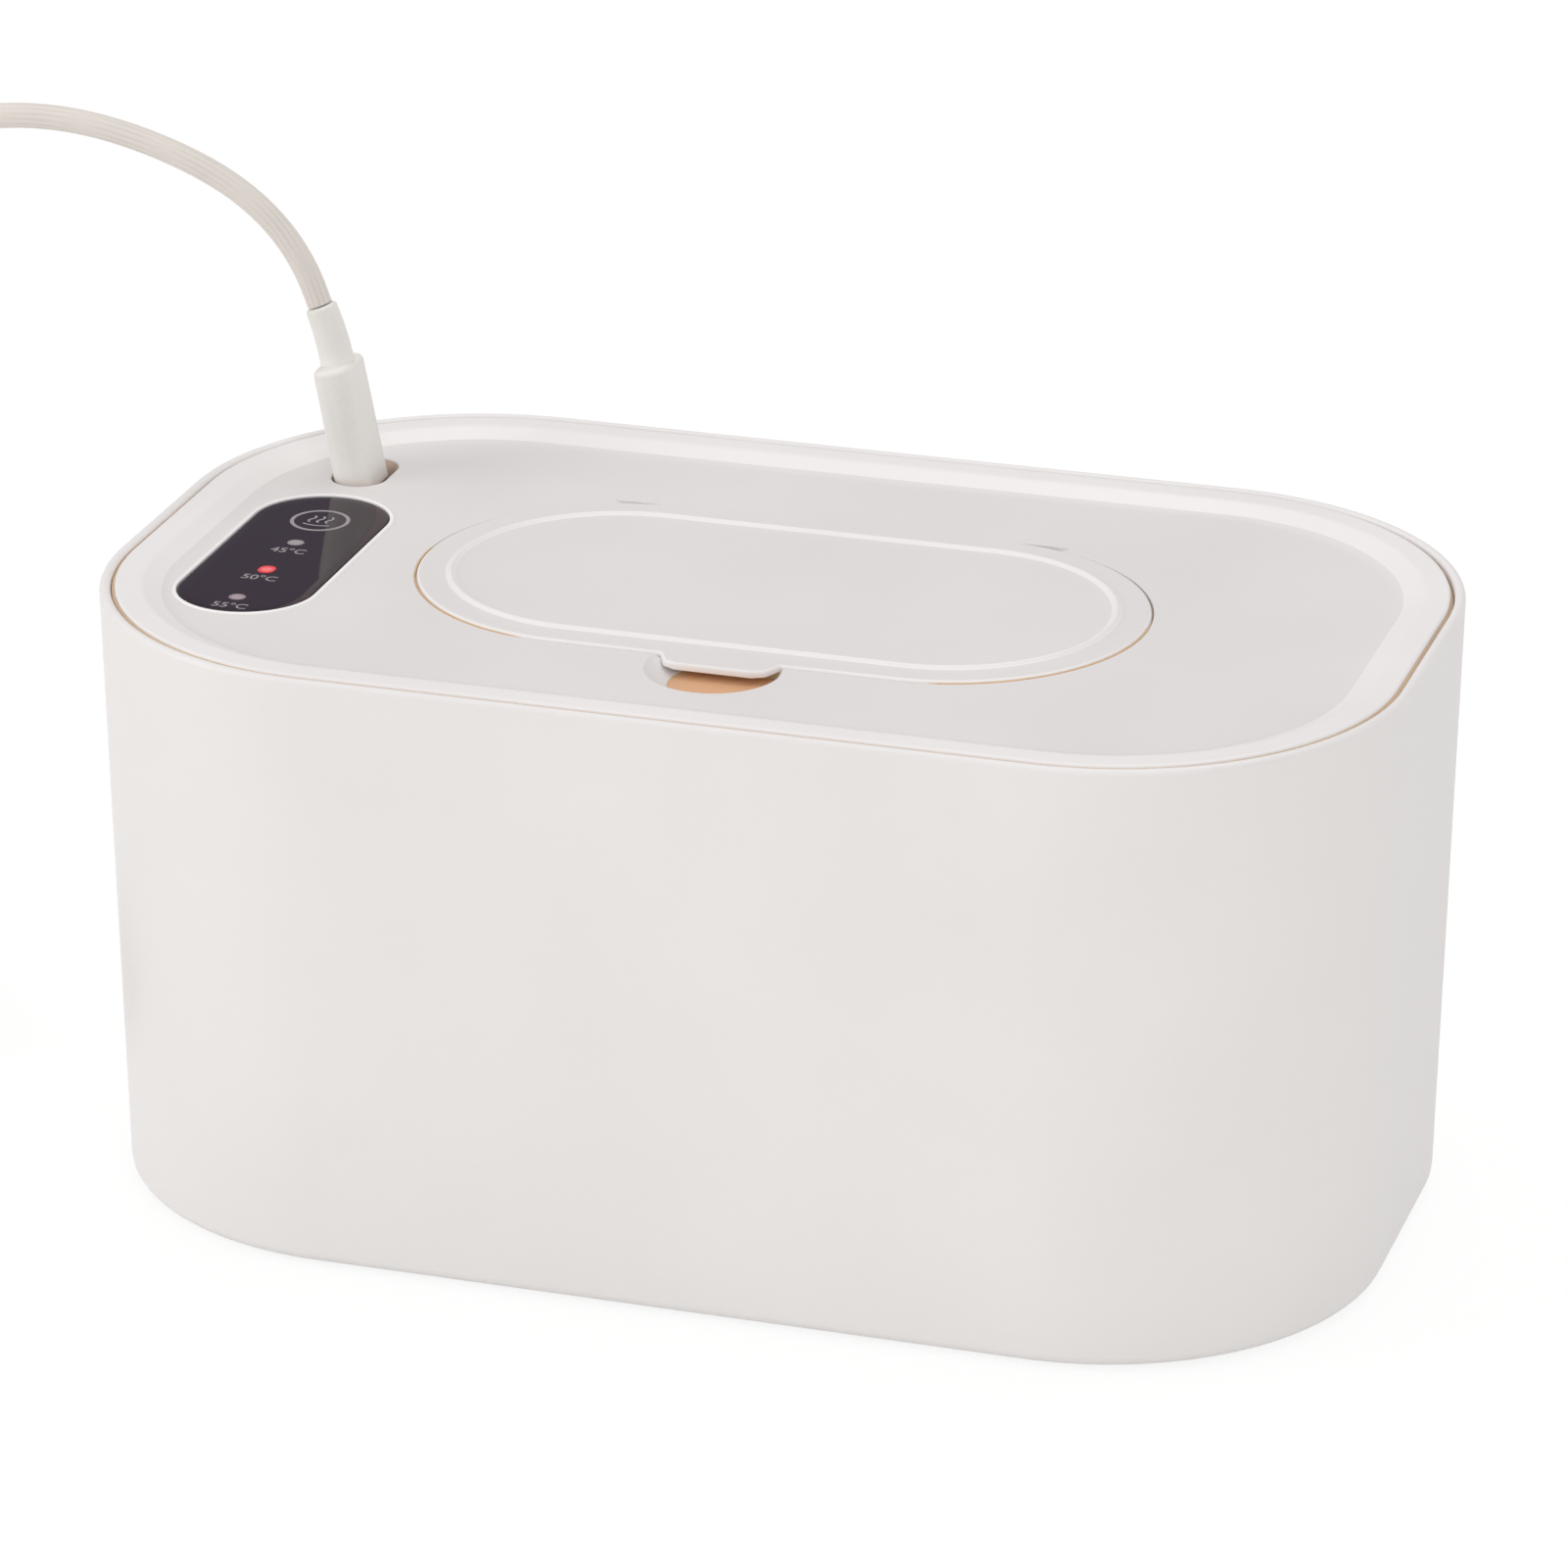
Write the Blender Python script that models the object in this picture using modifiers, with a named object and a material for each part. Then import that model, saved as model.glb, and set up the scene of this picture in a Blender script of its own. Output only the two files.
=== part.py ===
"""Wipes dispenser: a tub for a pack of wet wipes with a heated lift-off lid.

The lid sits inside the rim of the tub on eight ribs. It holds the warming plate, the touch panel,
the power socket and a hinged cap over the slot that the wipes are pulled through. Units are metres,
Z is up, X runs along the tub, and the origin lies under its middle, where it stands.
"""

import bmesh
import bpy
import numpy as np
from math import ceil, cos, hypot, pi, radians, sin, sqrt, tan
from mathutils import Matrix, Vector

mm = 0.001

# Clearances and overlaps
fit = 0.3 * mm
close_fit = 0.2 * mm
overrun = 1.0 * mm
sink = 0.5 * mm
tiny = 0.001 * mm

# Tub
overall_length = 215 * mm
overall_width = 130 * mm
overall_height = 102 * mm
rim_corner = 48.6 * mm
wall_lean = 2.0 * mm
tub_wall = 1.8 * mm
tub_floor = 2.6 * mm
tub_base_round = 1.9 * mm
tub_inner_round = 4.0 * mm
rim_round = 0.5 * mm
lid_seat_depth = 12 * mm
rib_thickness = 2.0 * mm
rib_side_place = 38 * mm
rib_end_place = 11 * mm

# Feet
foot_diameter = 12 * mm
foot_thickness = 2.2 * mm
foot_stand = 0.8 * mm
foot_inset = 26 * mm

# Lid shell and its seal
seal_side_gap = 0.25 * mm
seal_lip = 0.5 * mm
seal_drop = 1.1 * mm
seal_height = 3.6 * mm
seal_root = 1.6 * mm
seal_root_depth = 1.0 * mm
lid_edge_round = 0.7 * mm
lid_border = 3.8 * mm
lid_slope = 4.2 * mm
lid_recess = 1.8 * mm
lid_plate = 2.0 * mm
skirt_wall = 1.8 * mm
lid_lift_travel = 35 * mm

# Cap, its pocket and its hinge
cap_end_margin = 46.75 * mm
cap_side_margin = 32.25 * mm
cap_gap = 0.5 * mm
cap_plate = 2.0 * mm
cap_edge_round = 1.0 * mm
cap_rib = 1.2 * mm
bead_inset = 5.6 * mm
bead_width = 1.8 * mm
bead_height = 0.45 * mm
tab_reach = 4.2 * mm
tab_root_half = 10.2 * mm
tab_tip_half = 7.4 * mm
tab_thickness = 1.2 * mm
tab_drop = 0.1 * mm
scoop_radius = 10.6 * mm
scoop_offset = 3.0 * mm
pocket_depth = 5.7 * mm
pocket_wall = 1.6 * mm
hinge_inset = 1.45 * mm
hinge_depth = 0.8 * mm
hinge_pin_radius = 0.4 * mm
hinge_pin_clearance = 0.1 * mm
hinge_pin_grip = 4.0 * mm
cap_opening = radians(100)
ramp_start = 2.0 * mm
ramp_low = 1.3 * mm
ramp_middle = 0.5 * mm

# Silicone seal under the cap, and the mouth that the wipes come out of
passage_end_margin = 16.75 * mm
passage_side_margin = 14.75 * mm
mouth_flange = 4.5 * mm
mouth_sheet = 1.0 * mm
slot_end_margin = 11 * mm
slot_half_width = 3.2 * mm
slot_eye = 8.5 * mm
seal_sheet = 1.0 * mm
seal_bead = 1.4 * mm
seal_bead_inset = 1.8 * mm
seal_edge = 1.2 * mm
seal_edge_height = 1.9 * mm
scoop_lining = 2.9 * mm

# Tray that closes the lid from below
tray_plate = 2.8 * mm
tray_rim = 1.6 * mm
tray_rim_height = 3.6 * mm
tray_collar = 1.6 * mm
lid_interior = 10.4 * mm
post_radius = 3.0 * mm
post_inset = 11.1 * mm
post_side_inset = 12.5 * mm
post_middle_place = 17 * mm
post_back_shift = 1.9 * mm
post_plug_gap = 9 * mm

# Screws: shank radius, head radius and head height
lid_screw = (1.0 * mm, 2.4 * mm, 1.2 * mm)
small_screw = (0.8 * mm, 1.7 * mm, 0.9 * mm)
lid_screw_length = 9 * mm
small_screw_length = 3.6 * mm
screw_cover = 1.1 * mm

# Warming plate, its film and the parts that watch it
plate_end_margin = 29.5 * mm
plate_side_margin = 23 * mm
plate_corner = 26 * mm
plate_thickness = 1.0 * mm
plate_screw_inset = 11.5 * mm
film_thickness = 0.4 * mm
film_inset = 3.0 * mm
hole_step = 1.5 * mm
sensor_size = (6.0 * mm, 4.2 * mm, 2.0 * mm)
sensor_margin = 3.65 * mm
sensor_shift = 8 * mm
fuse_radius = 1.3 * mm
fuse_length = 9 * mm
fuse_shift = 9 * mm

# Control panel
panel_width = 23.6 * mm
panel_end_margin = 24.9 * mm
panel_front_margin = 29 * mm
panel_back_margin = 44 * mm
lens_thickness = 1.2 * mm
lens_ledge = 1.8 * mm
panel_pad = 1.2 * mm
pad_border = 1.4 * mm
shield_height = 2.3 * mm
led_shares = {"high": 0.13, "middle": 0.361, "low": 0.592}
led_size = (2.8 * mm, 2.8 * mm, 1.0 * mm)
led_well = 2.5 * mm
touch_share = 0.784
touch_radius = 3.6 * mm
touch_well = 4.2 * mm
board_thickness = 1.6 * mm
board_side_border = 1.2 * mm
board_front_border = 2.0 * mm
board_back_border = 0.8 * mm
board_margin = 2.0 * mm
board_corner = 9 * mm
board_post = 2.2 * mm
board_post_inset = 5.5 * mm
chip_size = (7 * mm, 7 * mm, 1.0 * mm)

# Power socket, under a slot in the lid that leans as the plug does
plug_lean = radians(10.6)
plug_hole_half_width = 4.7 * mm
plug_hole_half_length = 7.4 * mm
plug_back_margin = 31.7 * mm
plug_end_margin = 23.75 * mm
plug_shift = 0.9 * mm
plug_hole_wall = 1.4 * mm
plug_hole_depth = 5.2 * mm
socket_mouth_depth = 3.3 * mm
socket_height = 6.5 * mm
socket_wall = 0.35 * mm
tongue_half_width = 3.3 * mm
tongue_half_thickness = 0.35 * mm
tongue_height = 4.6 * mm
socket_board_half_width = 6.2 * mm
socket_board_half_length = 7.2 * mm
socket_board_thickness = 1.0 * mm
socket_screw_place = 4.1 * mm

# Plug in the lid
grip_half_thickness = 3.3 * mm
grip_half_width = 5.9 * mm
grip_corner = 2.8 * mm
grip_taper = 0.15 * mm
grip_length = 22.1 * mm
grip_depth = 2.8 * mm
grip_top_round = 0.9 * mm
plug_tip_half_thickness = 1.2 * mm
plug_tip_half_width = 4.125 * mm
plug_tip_length = 5.8 * mm
plug_tip_wall = 0.3 * mm
boot_radius = 3.0 * mm
boot_end_radius = 2.75 * mm
boot_length = 9.7 * mm
boot_bend = 1.0 * mm

# Wires inside the lid
lead_radius = 0.6 * mm
lead_hole = 2.2 * mm
lead_spacing = 1.7 * mm
lead_inset = 3.4 * mm
lead_spread = 3.0 * mm
harness_gap = 7.9 * mm
sensor_lead_radius = 0.7 * mm
sensor_lead_arch = 5.0 * mm
sensor_lead_slack = 7.5 * mm
sensor_lead_corner = 12 * mm
link_radius = 0.8 * mm
link_rise = 1.2 * mm
link_place = 6.0 * mm

# Power lead: its coil, tie and far plug
cord_diameter = 4.2 * mm
cord_step = 2.5
coil_entry = (-206.7 * mm, 0)
coil_inner_radius = 17.2 * mm
coil_turns = 5
coil_pitch = 4.85 * mm
coil_points_per_turn = 24
coil_reverse_share = 0.12
tie_strap = 0.6 * mm
tie_width = 8 * mm
tail_length = 24 * mm
tail_flat_share = 0.35
tail_height = 4.0 * mm
far_grip_half_width = 7.8 * mm
far_grip_half_thickness = 3.8 * mm
far_grip_corner = 2.4 * mm
far_grip_length = 22 * mm
far_boot_length = 6 * mm
far_boot_radius = 3.1 * mm
far_shell_half_width = 6.0 * mm
far_shell_half_thickness = 2.25 * mm
far_shell_length = 12 * mm
far_shell_wall = 0.35 * mm
far_shell_corner = 0.5 * mm
far_tongue_half_thickness = 0.7 * mm

# The lead's way in metres from the boot, up and over, and down to the table beside the tub
cord_route = [
    (-0.0921, 0.0335, 0.1328),
    (-0.0940, 0.0335, 0.1364),
    (-0.0965, 0.0335, 0.1401),
    (-0.1000, 0.0335, 0.1438),
    (-0.1044, 0.0335, 0.1472),
    (-0.1124, 0.0334, 0.1514),
    (-0.1238, 0.0332, 0.1552),
    (-0.1360, 0.0330, 0.1571),
    (-0.1490, 0.0327, 0.1564),
    (-0.1620, 0.0324, 0.1526),
    (-0.1740, 0.0321, 0.1452),
    (-0.1845, 0.0318, 0.1344),
    (-0.1928, 0.0316, 0.1208),
    (-0.1988, 0.0314, 0.1051),
    (-0.2028, 0.0312, 0.0883),
    (-0.2052, 0.0311, 0.0710),
    (-0.2063, 0.0310, 0.0550),
    (-0.2066, 0.0306, 0.0420),
    (-0.2067, 0.0294, 0.0305),
    (-0.2067, 0.0262, 0.0205),
    (-0.2067, 0.0210, 0.0124),
    (-0.2067, 0.0146, 0.0079),
    (-0.2067, 0.0087, 0.0068),
]

# Steps in a quarter turn of a corner
corner_steps = 10
small_steps = 6

# Heights that follow from them
rim_z = overall_height
base_z = foot_stand
tub_floor_z = base_z + tub_floor
rib_top_z = rim_z - lid_seat_depth
skirt_bottom_z = rib_top_z + fit
face_z = rim_z - lid_recess
plate_under_z = face_z - lid_plate
pocket_z = face_z - pocket_depth
pocket_under_z = pocket_z - pocket_wall
tray_z = plate_under_z - lid_interior
tray_under_z = tray_z - tray_plate
film_z = tray_under_z - fit
plate_z = film_z - film_thickness - fit
plate_bottom_z = plate_z - plate_thickness
lens_z = face_z - lens_thickness
shield_top_z = lens_z - fit
board_z = shield_top_z - shield_height - fit
board_under_z = board_z - board_thickness

# Places in plan that follow from them
rim_inner = tub_wall
seal_lean = wall_lean * (seal_drop + seal_height) / (rim_z - base_z)
seal_outer = rim_inner + seal_lean + seal_side_gap
lid_edge = seal_outer + seal_lip + seal_side_gap
skirt_inner = lid_edge + skirt_wall
pocket_half_length = overall_length / 2 - cap_end_margin
pocket_half_width = overall_width / 2 - cap_side_margin
cap_half_length = pocket_half_length - cap_gap
cap_half_width = pocket_half_width - cap_gap
passage_half_length = pocket_half_length - passage_end_margin
passage_half_width = pocket_half_width - passage_side_margin
slot_half_length = passage_half_length - slot_end_margin
scoop_y = -pocket_half_width - scoop_offset
hinge_y = pocket_half_width - hinge_inset
hinge_z = face_z - hinge_depth
cap_lean = hinge_depth * tan(cap_opening / 2)
plate_half_length = overall_length / 2 - plate_end_margin
plate_half_width = overall_width / 2 - plate_side_margin
sensor_x = pocket_half_length + pocket_wall + sensor_margin
panel_length = overall_width - panel_front_margin - panel_back_margin
panel_front = panel_front_margin - overall_width / 2
panel_x = panel_end_margin - overall_length / 2
panel_y = panel_front + panel_length / 2
plug_x = plug_end_margin - overall_length / 2
plug_y = overall_width / 2 - plug_back_margin
corner_x = overall_length / 2 - rim_corner
corner_y = overall_width / 2 - rim_corner

for old in list(bpy.data.objects):
    bpy.data.objects.remove(old, do_unlink=True)

parts = bpy.data.collections.new("Wipes dispenser")
cutters = bpy.data.collections.new("Cutters and joined shapes")
bpy.context.scene.collection.children.link(parts)
bpy.context.scene.collection.children.link(cutters)


def paint(piece, colour, roughness, metallic=0.0):
    """Gives the piece a material of its own, from an sRGB hex colour."""
    material = bpy.data.materials.new(piece.name + "_finish")
    material.use_nodes = True
    channels = [int(colour[i : i + 2], 16) / 255 for i in (0, 2, 4)]
    linear = [((c + 0.055) / 1.055) ** 2.4 if c > 0.04045 else c / 12.92 for c in channels]
    shader = material.node_tree.nodes["Principled BSDF"]
    shader.inputs["Base Color"].default_value = (*linear, 1)
    shader.inputs["Roughness"].default_value = roughness
    shader.inputs["Metallic"].default_value = metallic
    material.diffuse_color = (*linear, 1)
    piece.data.materials.append(material)
    return piece


def add_object(name, data, helper=False):
    """Links a new object: a part, or a helper that only cuts or joins."""
    piece = bpy.data.objects.new(name, data)
    (cutters if helper else parts).objects.link(piece)
    if helper:
        piece.hide_render = True
        piece.display_type = "WIRE"
    return piece


def finish_mesh(name, shape, helper=False):
    """Turns a bmesh into an object with outward faces and smooth shading up to sharp edges."""
    bmesh.ops.recalc_face_normals(shape, faces=shape.faces)
    mesh = bpy.data.meshes.new(name)
    shape.to_mesh(mesh)
    shape.free()
    mesh.shade_smooth()
    mesh.set_sharp_from_angle(angle=radians(35))
    return add_object(name, mesh, helper)


def rounded_outline(half_x, half_y, corner, steps=corner_steps):
    """Points round a rectangle with round corners, counterclockwise from +X."""
    points = []
    for quarter, (side_x, side_y) in enumerate(((1, 1), (-1, 1), (-1, -1), (1, -1))):
        for step in range(steps + 1):
            angle = pi / 2 * (quarter + step / steps)
            x = side_x * (half_x - corner) + corner * cos(angle)
            y = side_y * (half_y - corner) + corner * sin(angle)
            points.append((x, y))
    # A stadium's arcs meet end to start, so their shared points are kept once.
    kept = []
    for before, point in zip(points[-1:] + points, points):
        if hypot(point[0] - before[0], point[1] - before[1]) > tiny:
            kept.append(point)
    return kept


def stack(name, sections, closed=False, steps=corner_steps, helper=False, middle=(0, 0)):
    """A surface through rounded outlines, each (half length, half width, corner, height).

    Its ends are filled, or joined to each other when it is closed into a ring.
    """
    shape = bmesh.new()
    rings = []
    for half_x, half_y, corner, height in sections:
        outline = rounded_outline(half_x, half_y, corner, steps)
        rings.append([shape.verts.new((middle[0] + x, middle[1] + y, height)) for x, y in outline])
    for lower, upper in zip(rings, rings[1:] + rings[:1] if closed else rings[1:]):
        for i, corner_vert in enumerate(lower):
            shape.faces.new((lower[i - 1], corner_vert, upper[i], upper[i - 1]))
    if not closed:
        shape.faces.new(rings[0])
        shape.faces.new(rings[-1])
    return finish_mesh(name, shape, helper)


def rim_section(inset, height):
    """The tub's outline at the rim, moved in by inset, for a stack."""
    return (overall_length / 2 - inset, overall_width / 2 - inset, rim_corner - inset, height)


def stadium_section(half_length, half_width, height):
    """A slot shape with round ends, for a stack."""
    return (half_length, half_width, min(half_length, half_width), height)


def slab(name, half_x, half_y, corner, bottom, top, middle=(0, 0), steps=small_steps, helper=False):
    """A flat plate with round corners."""
    sections = [(half_x, half_y, corner, bottom), (half_x, half_y, corner, top)]
    return stack(name, sections, steps=steps, helper=helper, middle=middle)


def block(name, low, high, helper=False):
    """A box between two corners."""
    shape = bmesh.new()
    bmesh.ops.create_cube(shape, size=1)
    low, high = Vector(low), Vector(high)
    place = Matrix.Translation((low + high) / 2) @ Matrix.Diagonal((*(high - low), 1))
    bmesh.ops.transform(shape, matrix=place, verts=shape.verts)
    return finish_mesh(name, shape, helper)


def disc(name, centre, radius, bottom, top, segments=20, helper=True):
    """A round bar that stands along Z."""
    return rod(name, (centre[0], centre[1], bottom), (centre[0], centre[1], top), radius, segments, helper)


def rod(name, start, end, radius, segments=16, helper=True):
    """A round bar from start to end."""
    shape = bmesh.new()
    start, end = Vector(start), Vector(end)
    along = end - start
    bmesh.ops.create_cone(
        shape, cap_ends=True, segments=segments, radius1=radius, radius2=radius, depth=along.length
    )
    turn = Vector((0, 0, 1)).rotation_difference(along).to_matrix().to_4x4()
    bmesh.ops.transform(shape, matrix=Matrix.Translation((start + end) / 2) @ turn, verts=shape.verts)
    return finish_mesh(name, shape, helper)


def turned(name, profile, steps=16):
    """A profile of (radius, height) points, from the top down its outer side, turned about Z."""
    mesh = bpy.data.meshes.new(name)
    edges = [(i, i + 1) for i in range(len(profile) - 1)]
    mesh.from_pydata([(radius, 0, height) for radius, height in profile], edges, [])
    piece = add_object(name, mesh)
    lathe = piece.modifiers.new("Turn", "SCREW")
    lathe.steps = steps
    lathe.render_steps = steps
    lathe.use_merge_vertices = True
    lathe.merge_threshold = mm / 100
    lathe.use_smooth_shade = True
    return piece


def combine(target, operation, others):
    for other in others:
        modifier = target.modifiers.new(other.name, "BOOLEAN")
        modifier.operation = operation
        modifier.object = other
    return target


def cut(target, *others):
    return combine(target, "DIFFERENCE", others)


def join(target, *others):
    return combine(target, "UNION", others)


def placed(piece, matrix):
    piece.matrix_world = matrix
    return piece


def screw_piece(name, sizes, length, matrix):
    """A pan head screw whose head top is at the matrix's origin and whose shank runs along +Z."""
    shank, head, height = sizes
    profile = [(0, length), (shank, length), (shank, height), (head, height), (head, 0), (0, 0)]
    return paint(placed(turned(name, profile, steps=10), matrix), "B9BBBD", 0.3, 1.0)


def tube(name, points, radii, resolution=2):
    """A round tube along points, as a straight-segment spline with filled ends."""
    curve = bpy.data.curves.new(name, "CURVE")
    curve.dimensions = "3D"
    curve.bevel_depth = radii[0]
    curve.bevel_resolution = resolution
    curve.use_fill_caps = True
    spline = curve.splines.new("POLY")
    spline.points.add(len(points) - 1)
    for point, place, radius in zip(spline.points, points, radii):
        point.co = (*place, 1)
        point.radius = radius / radii[0]
    return add_object(name, curve)


def smooth_path(route, spacing):
    """Even steps along the natural cubic curve through the route's points."""
    route = np.array([tuple(point) for point in route], float)
    knots = np.concatenate([[0], np.cumsum(np.linalg.norm(np.diff(route, axis=0), axis=1))])
    gaps = np.diff(knots)
    slopes = np.diff(route, axis=0) / gaps[:, None]
    system = np.eye(len(route))
    right = np.zeros_like(route)
    for i in range(1, len(route) - 1):
        system[i, i - 1 : i + 2] = gaps[i - 1], 2 * (gaps[i - 1] + gaps[i]), gaps[i]
        right[i] = 6 * (slopes[i] - slopes[i - 1])
    bends = np.linalg.solve(system, right)

    def position(along):
        i = np.clip(np.searchsorted(knots, along) - 1, 0, len(gaps) - 1)
        before = (along - knots[i])[:, None]
        after = (knots[i + 1] - along)[:, None]
        gap = gaps[i][:, None]
        curved = (bends[i] * after**3 + bends[i + 1] * before**3) / (6 * gap)
        straight = (route[i] / gap - bends[i] * gap / 6) * after
        return curved + straight + (route[i + 1] / gap - bends[i + 1] * gap / 6) * before

    fine = position(np.linspace(0, knots[-1], 40 * len(route)))
    lengths = np.concatenate([[0], np.cumsum(np.linalg.norm(np.diff(fine, axis=0), axis=1))])
    count = ceil(lengths[-1] / spacing) + 1
    even = np.linspace(0, lengths[-1], count)
    return np.stack([np.interp(even, lengths, fine[:, axis]) for axis in range(3)], axis=1)


def carry(pivot, *pieces):
    """Parents pieces to the empty on their joint's axis, where they already stand."""
    for piece in pieces:
        piece.parent = pivot
        piece.matrix_parent_inverse = Matrix.Translation(pivot.location).inverted()


def joint_empty(name, location):
    empty = bpy.data.objects.new(name, None)
    empty.location = location
    empty.empty_display_size = overall_height / 10
    parts.objects.link(empty)
    return empty


def wall_inset(height):
    """How far the leaning outer wall stands inside the rim's outline at a height."""
    return wall_lean * (rim_z - height) / (rim_z - base_z)


def build_tub():
    """The tub: one moulding with a leaning wall, a rounded foot and a rounded rim."""
    sections = []
    round_steps = 3
    for step in range(round_steps + 1):
        angle = pi / 2 * step / round_steps
        height = base_z + tub_base_round * (1 - cos(angle))
        sections.append(rim_section(wall_inset(base_z) + tub_base_round * (1 - sin(angle)), height))
    sections.append(rim_section(rim_round * wall_lean / (rim_z - base_z), rim_z - rim_round))
    sections.append(rim_section(rim_round, rim_z))
    sections.append(rim_section(tub_wall - rim_round, rim_z))
    sections.append(rim_section(tub_wall + wall_inset(rim_z - rim_round), rim_z - rim_round))
    for step in range(round_steps + 1):
        angle = pi / 2 * step / round_steps
        height = tub_floor_z + tub_inner_round * (1 - sin(angle))
        inset = tub_wall + wall_inset(tub_floor_z) + tub_inner_round * (1 - cos(angle))
        sections.append(rim_section(inset, height))
    tub = stack("tub", sections)
    for side in (-1, 1):
        for along in (-rib_side_place, rib_side_place):
            turn = Matrix.Rotation(side * pi / 2, 4, "Z")
            join(tub, placed(lid_rib("rib_side", overall_width / 2, side * along), turn))
        for along in (-rib_end_place, rib_end_place):
            turn = Matrix.Rotation((1 - side) * pi / 2, 4, "Z")
            join(tub, placed(lid_rib("rib_end", overall_length / 2, along), turn))
    return paint(tub, "EFECEA", 0.42)


def lid_rib(name, reach, along):
    """An upright rib on the inside of the leaning wall that stands at reach along +X."""
    shape = bmesh.new()
    low_z = tub_floor_z - sink
    low_wall = reach - wall_inset(low_z) - tub_wall / 2
    top_wall = reach - wall_inset(rib_top_z) - tub_wall / 2
    inner = reach - skirt_inner
    half_rib = rib_thickness / 2
    outline = ((inner, low_z), (low_wall, low_z), (top_wall, rib_top_z), (inner, rib_top_z))
    face = shape.faces.new([shape.verts.new((x, along - half_rib, z)) for x, z in outline])
    moved = bmesh.ops.extrude_face_region(shape, geom=[face])["geom"]
    far = [vert for vert in moved if isinstance(vert, bmesh.types.BMVert)]
    bmesh.ops.translate(shape, vec=(0, rib_thickness, 0), verts=far)
    return finish_mesh(name, shape, helper=True)


def foot_places():
    reach = (rim_corner - foot_inset) / sqrt(2)
    for end, side_x in (("left", -1), ("right", 1)):
        for side, side_y in (("front", -1), ("back", 1)):
            yield f"{side}_{end}", side_x * (corner_x + reach), side_y * (corner_y + reach)


def build_feet(tub):
    """Four rubber discs pressed into wells under the tub."""
    radius = foot_diameter / 2
    for place, x, y in foot_places():
        well = disc("foot_well", (x, y), radius + fit, base_z - overrun, foot_thickness + fit)
        cut(tub, well)
        foot = disc("foot_" + place, (x, y), radius, 0, foot_thickness, helper=False)
        paint(foot, "D9D6D2", 0.8)


def post_places():
    """Where the six screws hold the tray to the lid shell."""
    reach = (rim_corner - post_inset) / sqrt(2)
    side = overall_width / 2 - post_side_inset
    yield "front_left", -corner_x - reach, -corner_y - reach
    yield "front_right", corner_x + reach, -corner_y - reach
    yield "back_right", corner_x + reach, corner_y + reach
    yield "back_left", plug_x + plug_hole_half_width + plug_hole_wall + post_plug_gap, side - post_back_shift
    yield "front_middle", post_middle_place, -side
    yield "back_middle", post_middle_place, side


def plug_frame():
    """The leaning frame of the plug: origin in the lid's face, Z out along the plug."""
    foot = (plug_x - plug_shift, plug_y, face_z)
    return Matrix.Translation(foot) @ Matrix.Rotation(-plug_lean, 4, "Y")


def hinge_span():
    """Along X from the middle: the cap's edge at the hinge, its ramp's end, and the pin's end."""
    straight = pocket_half_length - pocket_half_width
    edge = straight + sqrt(cap_half_width**2 - hinge_y**2)
    ramp_end = straight + sqrt(cap_half_width**2 - (hinge_y - cap_lean) ** 2) + fit
    wall = straight + sqrt(pocket_half_width**2 - hinge_y**2)
    return edge, ramp_end, wall + hinge_pin_grip


def swing_ramp(side):
    """A shallow ramp in the face beside the hinge, where the cap's back corner swings through."""
    edge, ramp_end, pin_end = hinge_span()
    outline = (
        (edge - ramp_start, hinge_z - ramp_low),
        (edge, hinge_z - ramp_middle),
        (ramp_end, face_z),
        (ramp_end + overrun, face_z + overrun),
        (edge - ramp_start, face_z + overrun),
    )
    front = hinge_y - cap_lean - fit
    back = hinge_y + cap_lean + close_fit
    shape = bmesh.new()
    face = shape.faces.new([shape.verts.new((side * x, front, z)) for x, z in outline])
    moved = bmesh.ops.extrude_face_region(shape, geom=[face])["geom"]
    far = [vert for vert in moved if isinstance(vert, bmesh.types.BMVert)]
    bmesh.ops.translate(shape, vec=(0, back - front, 0), verts=far)
    return finish_mesh("swing_ramp", shape, helper=True)


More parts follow.
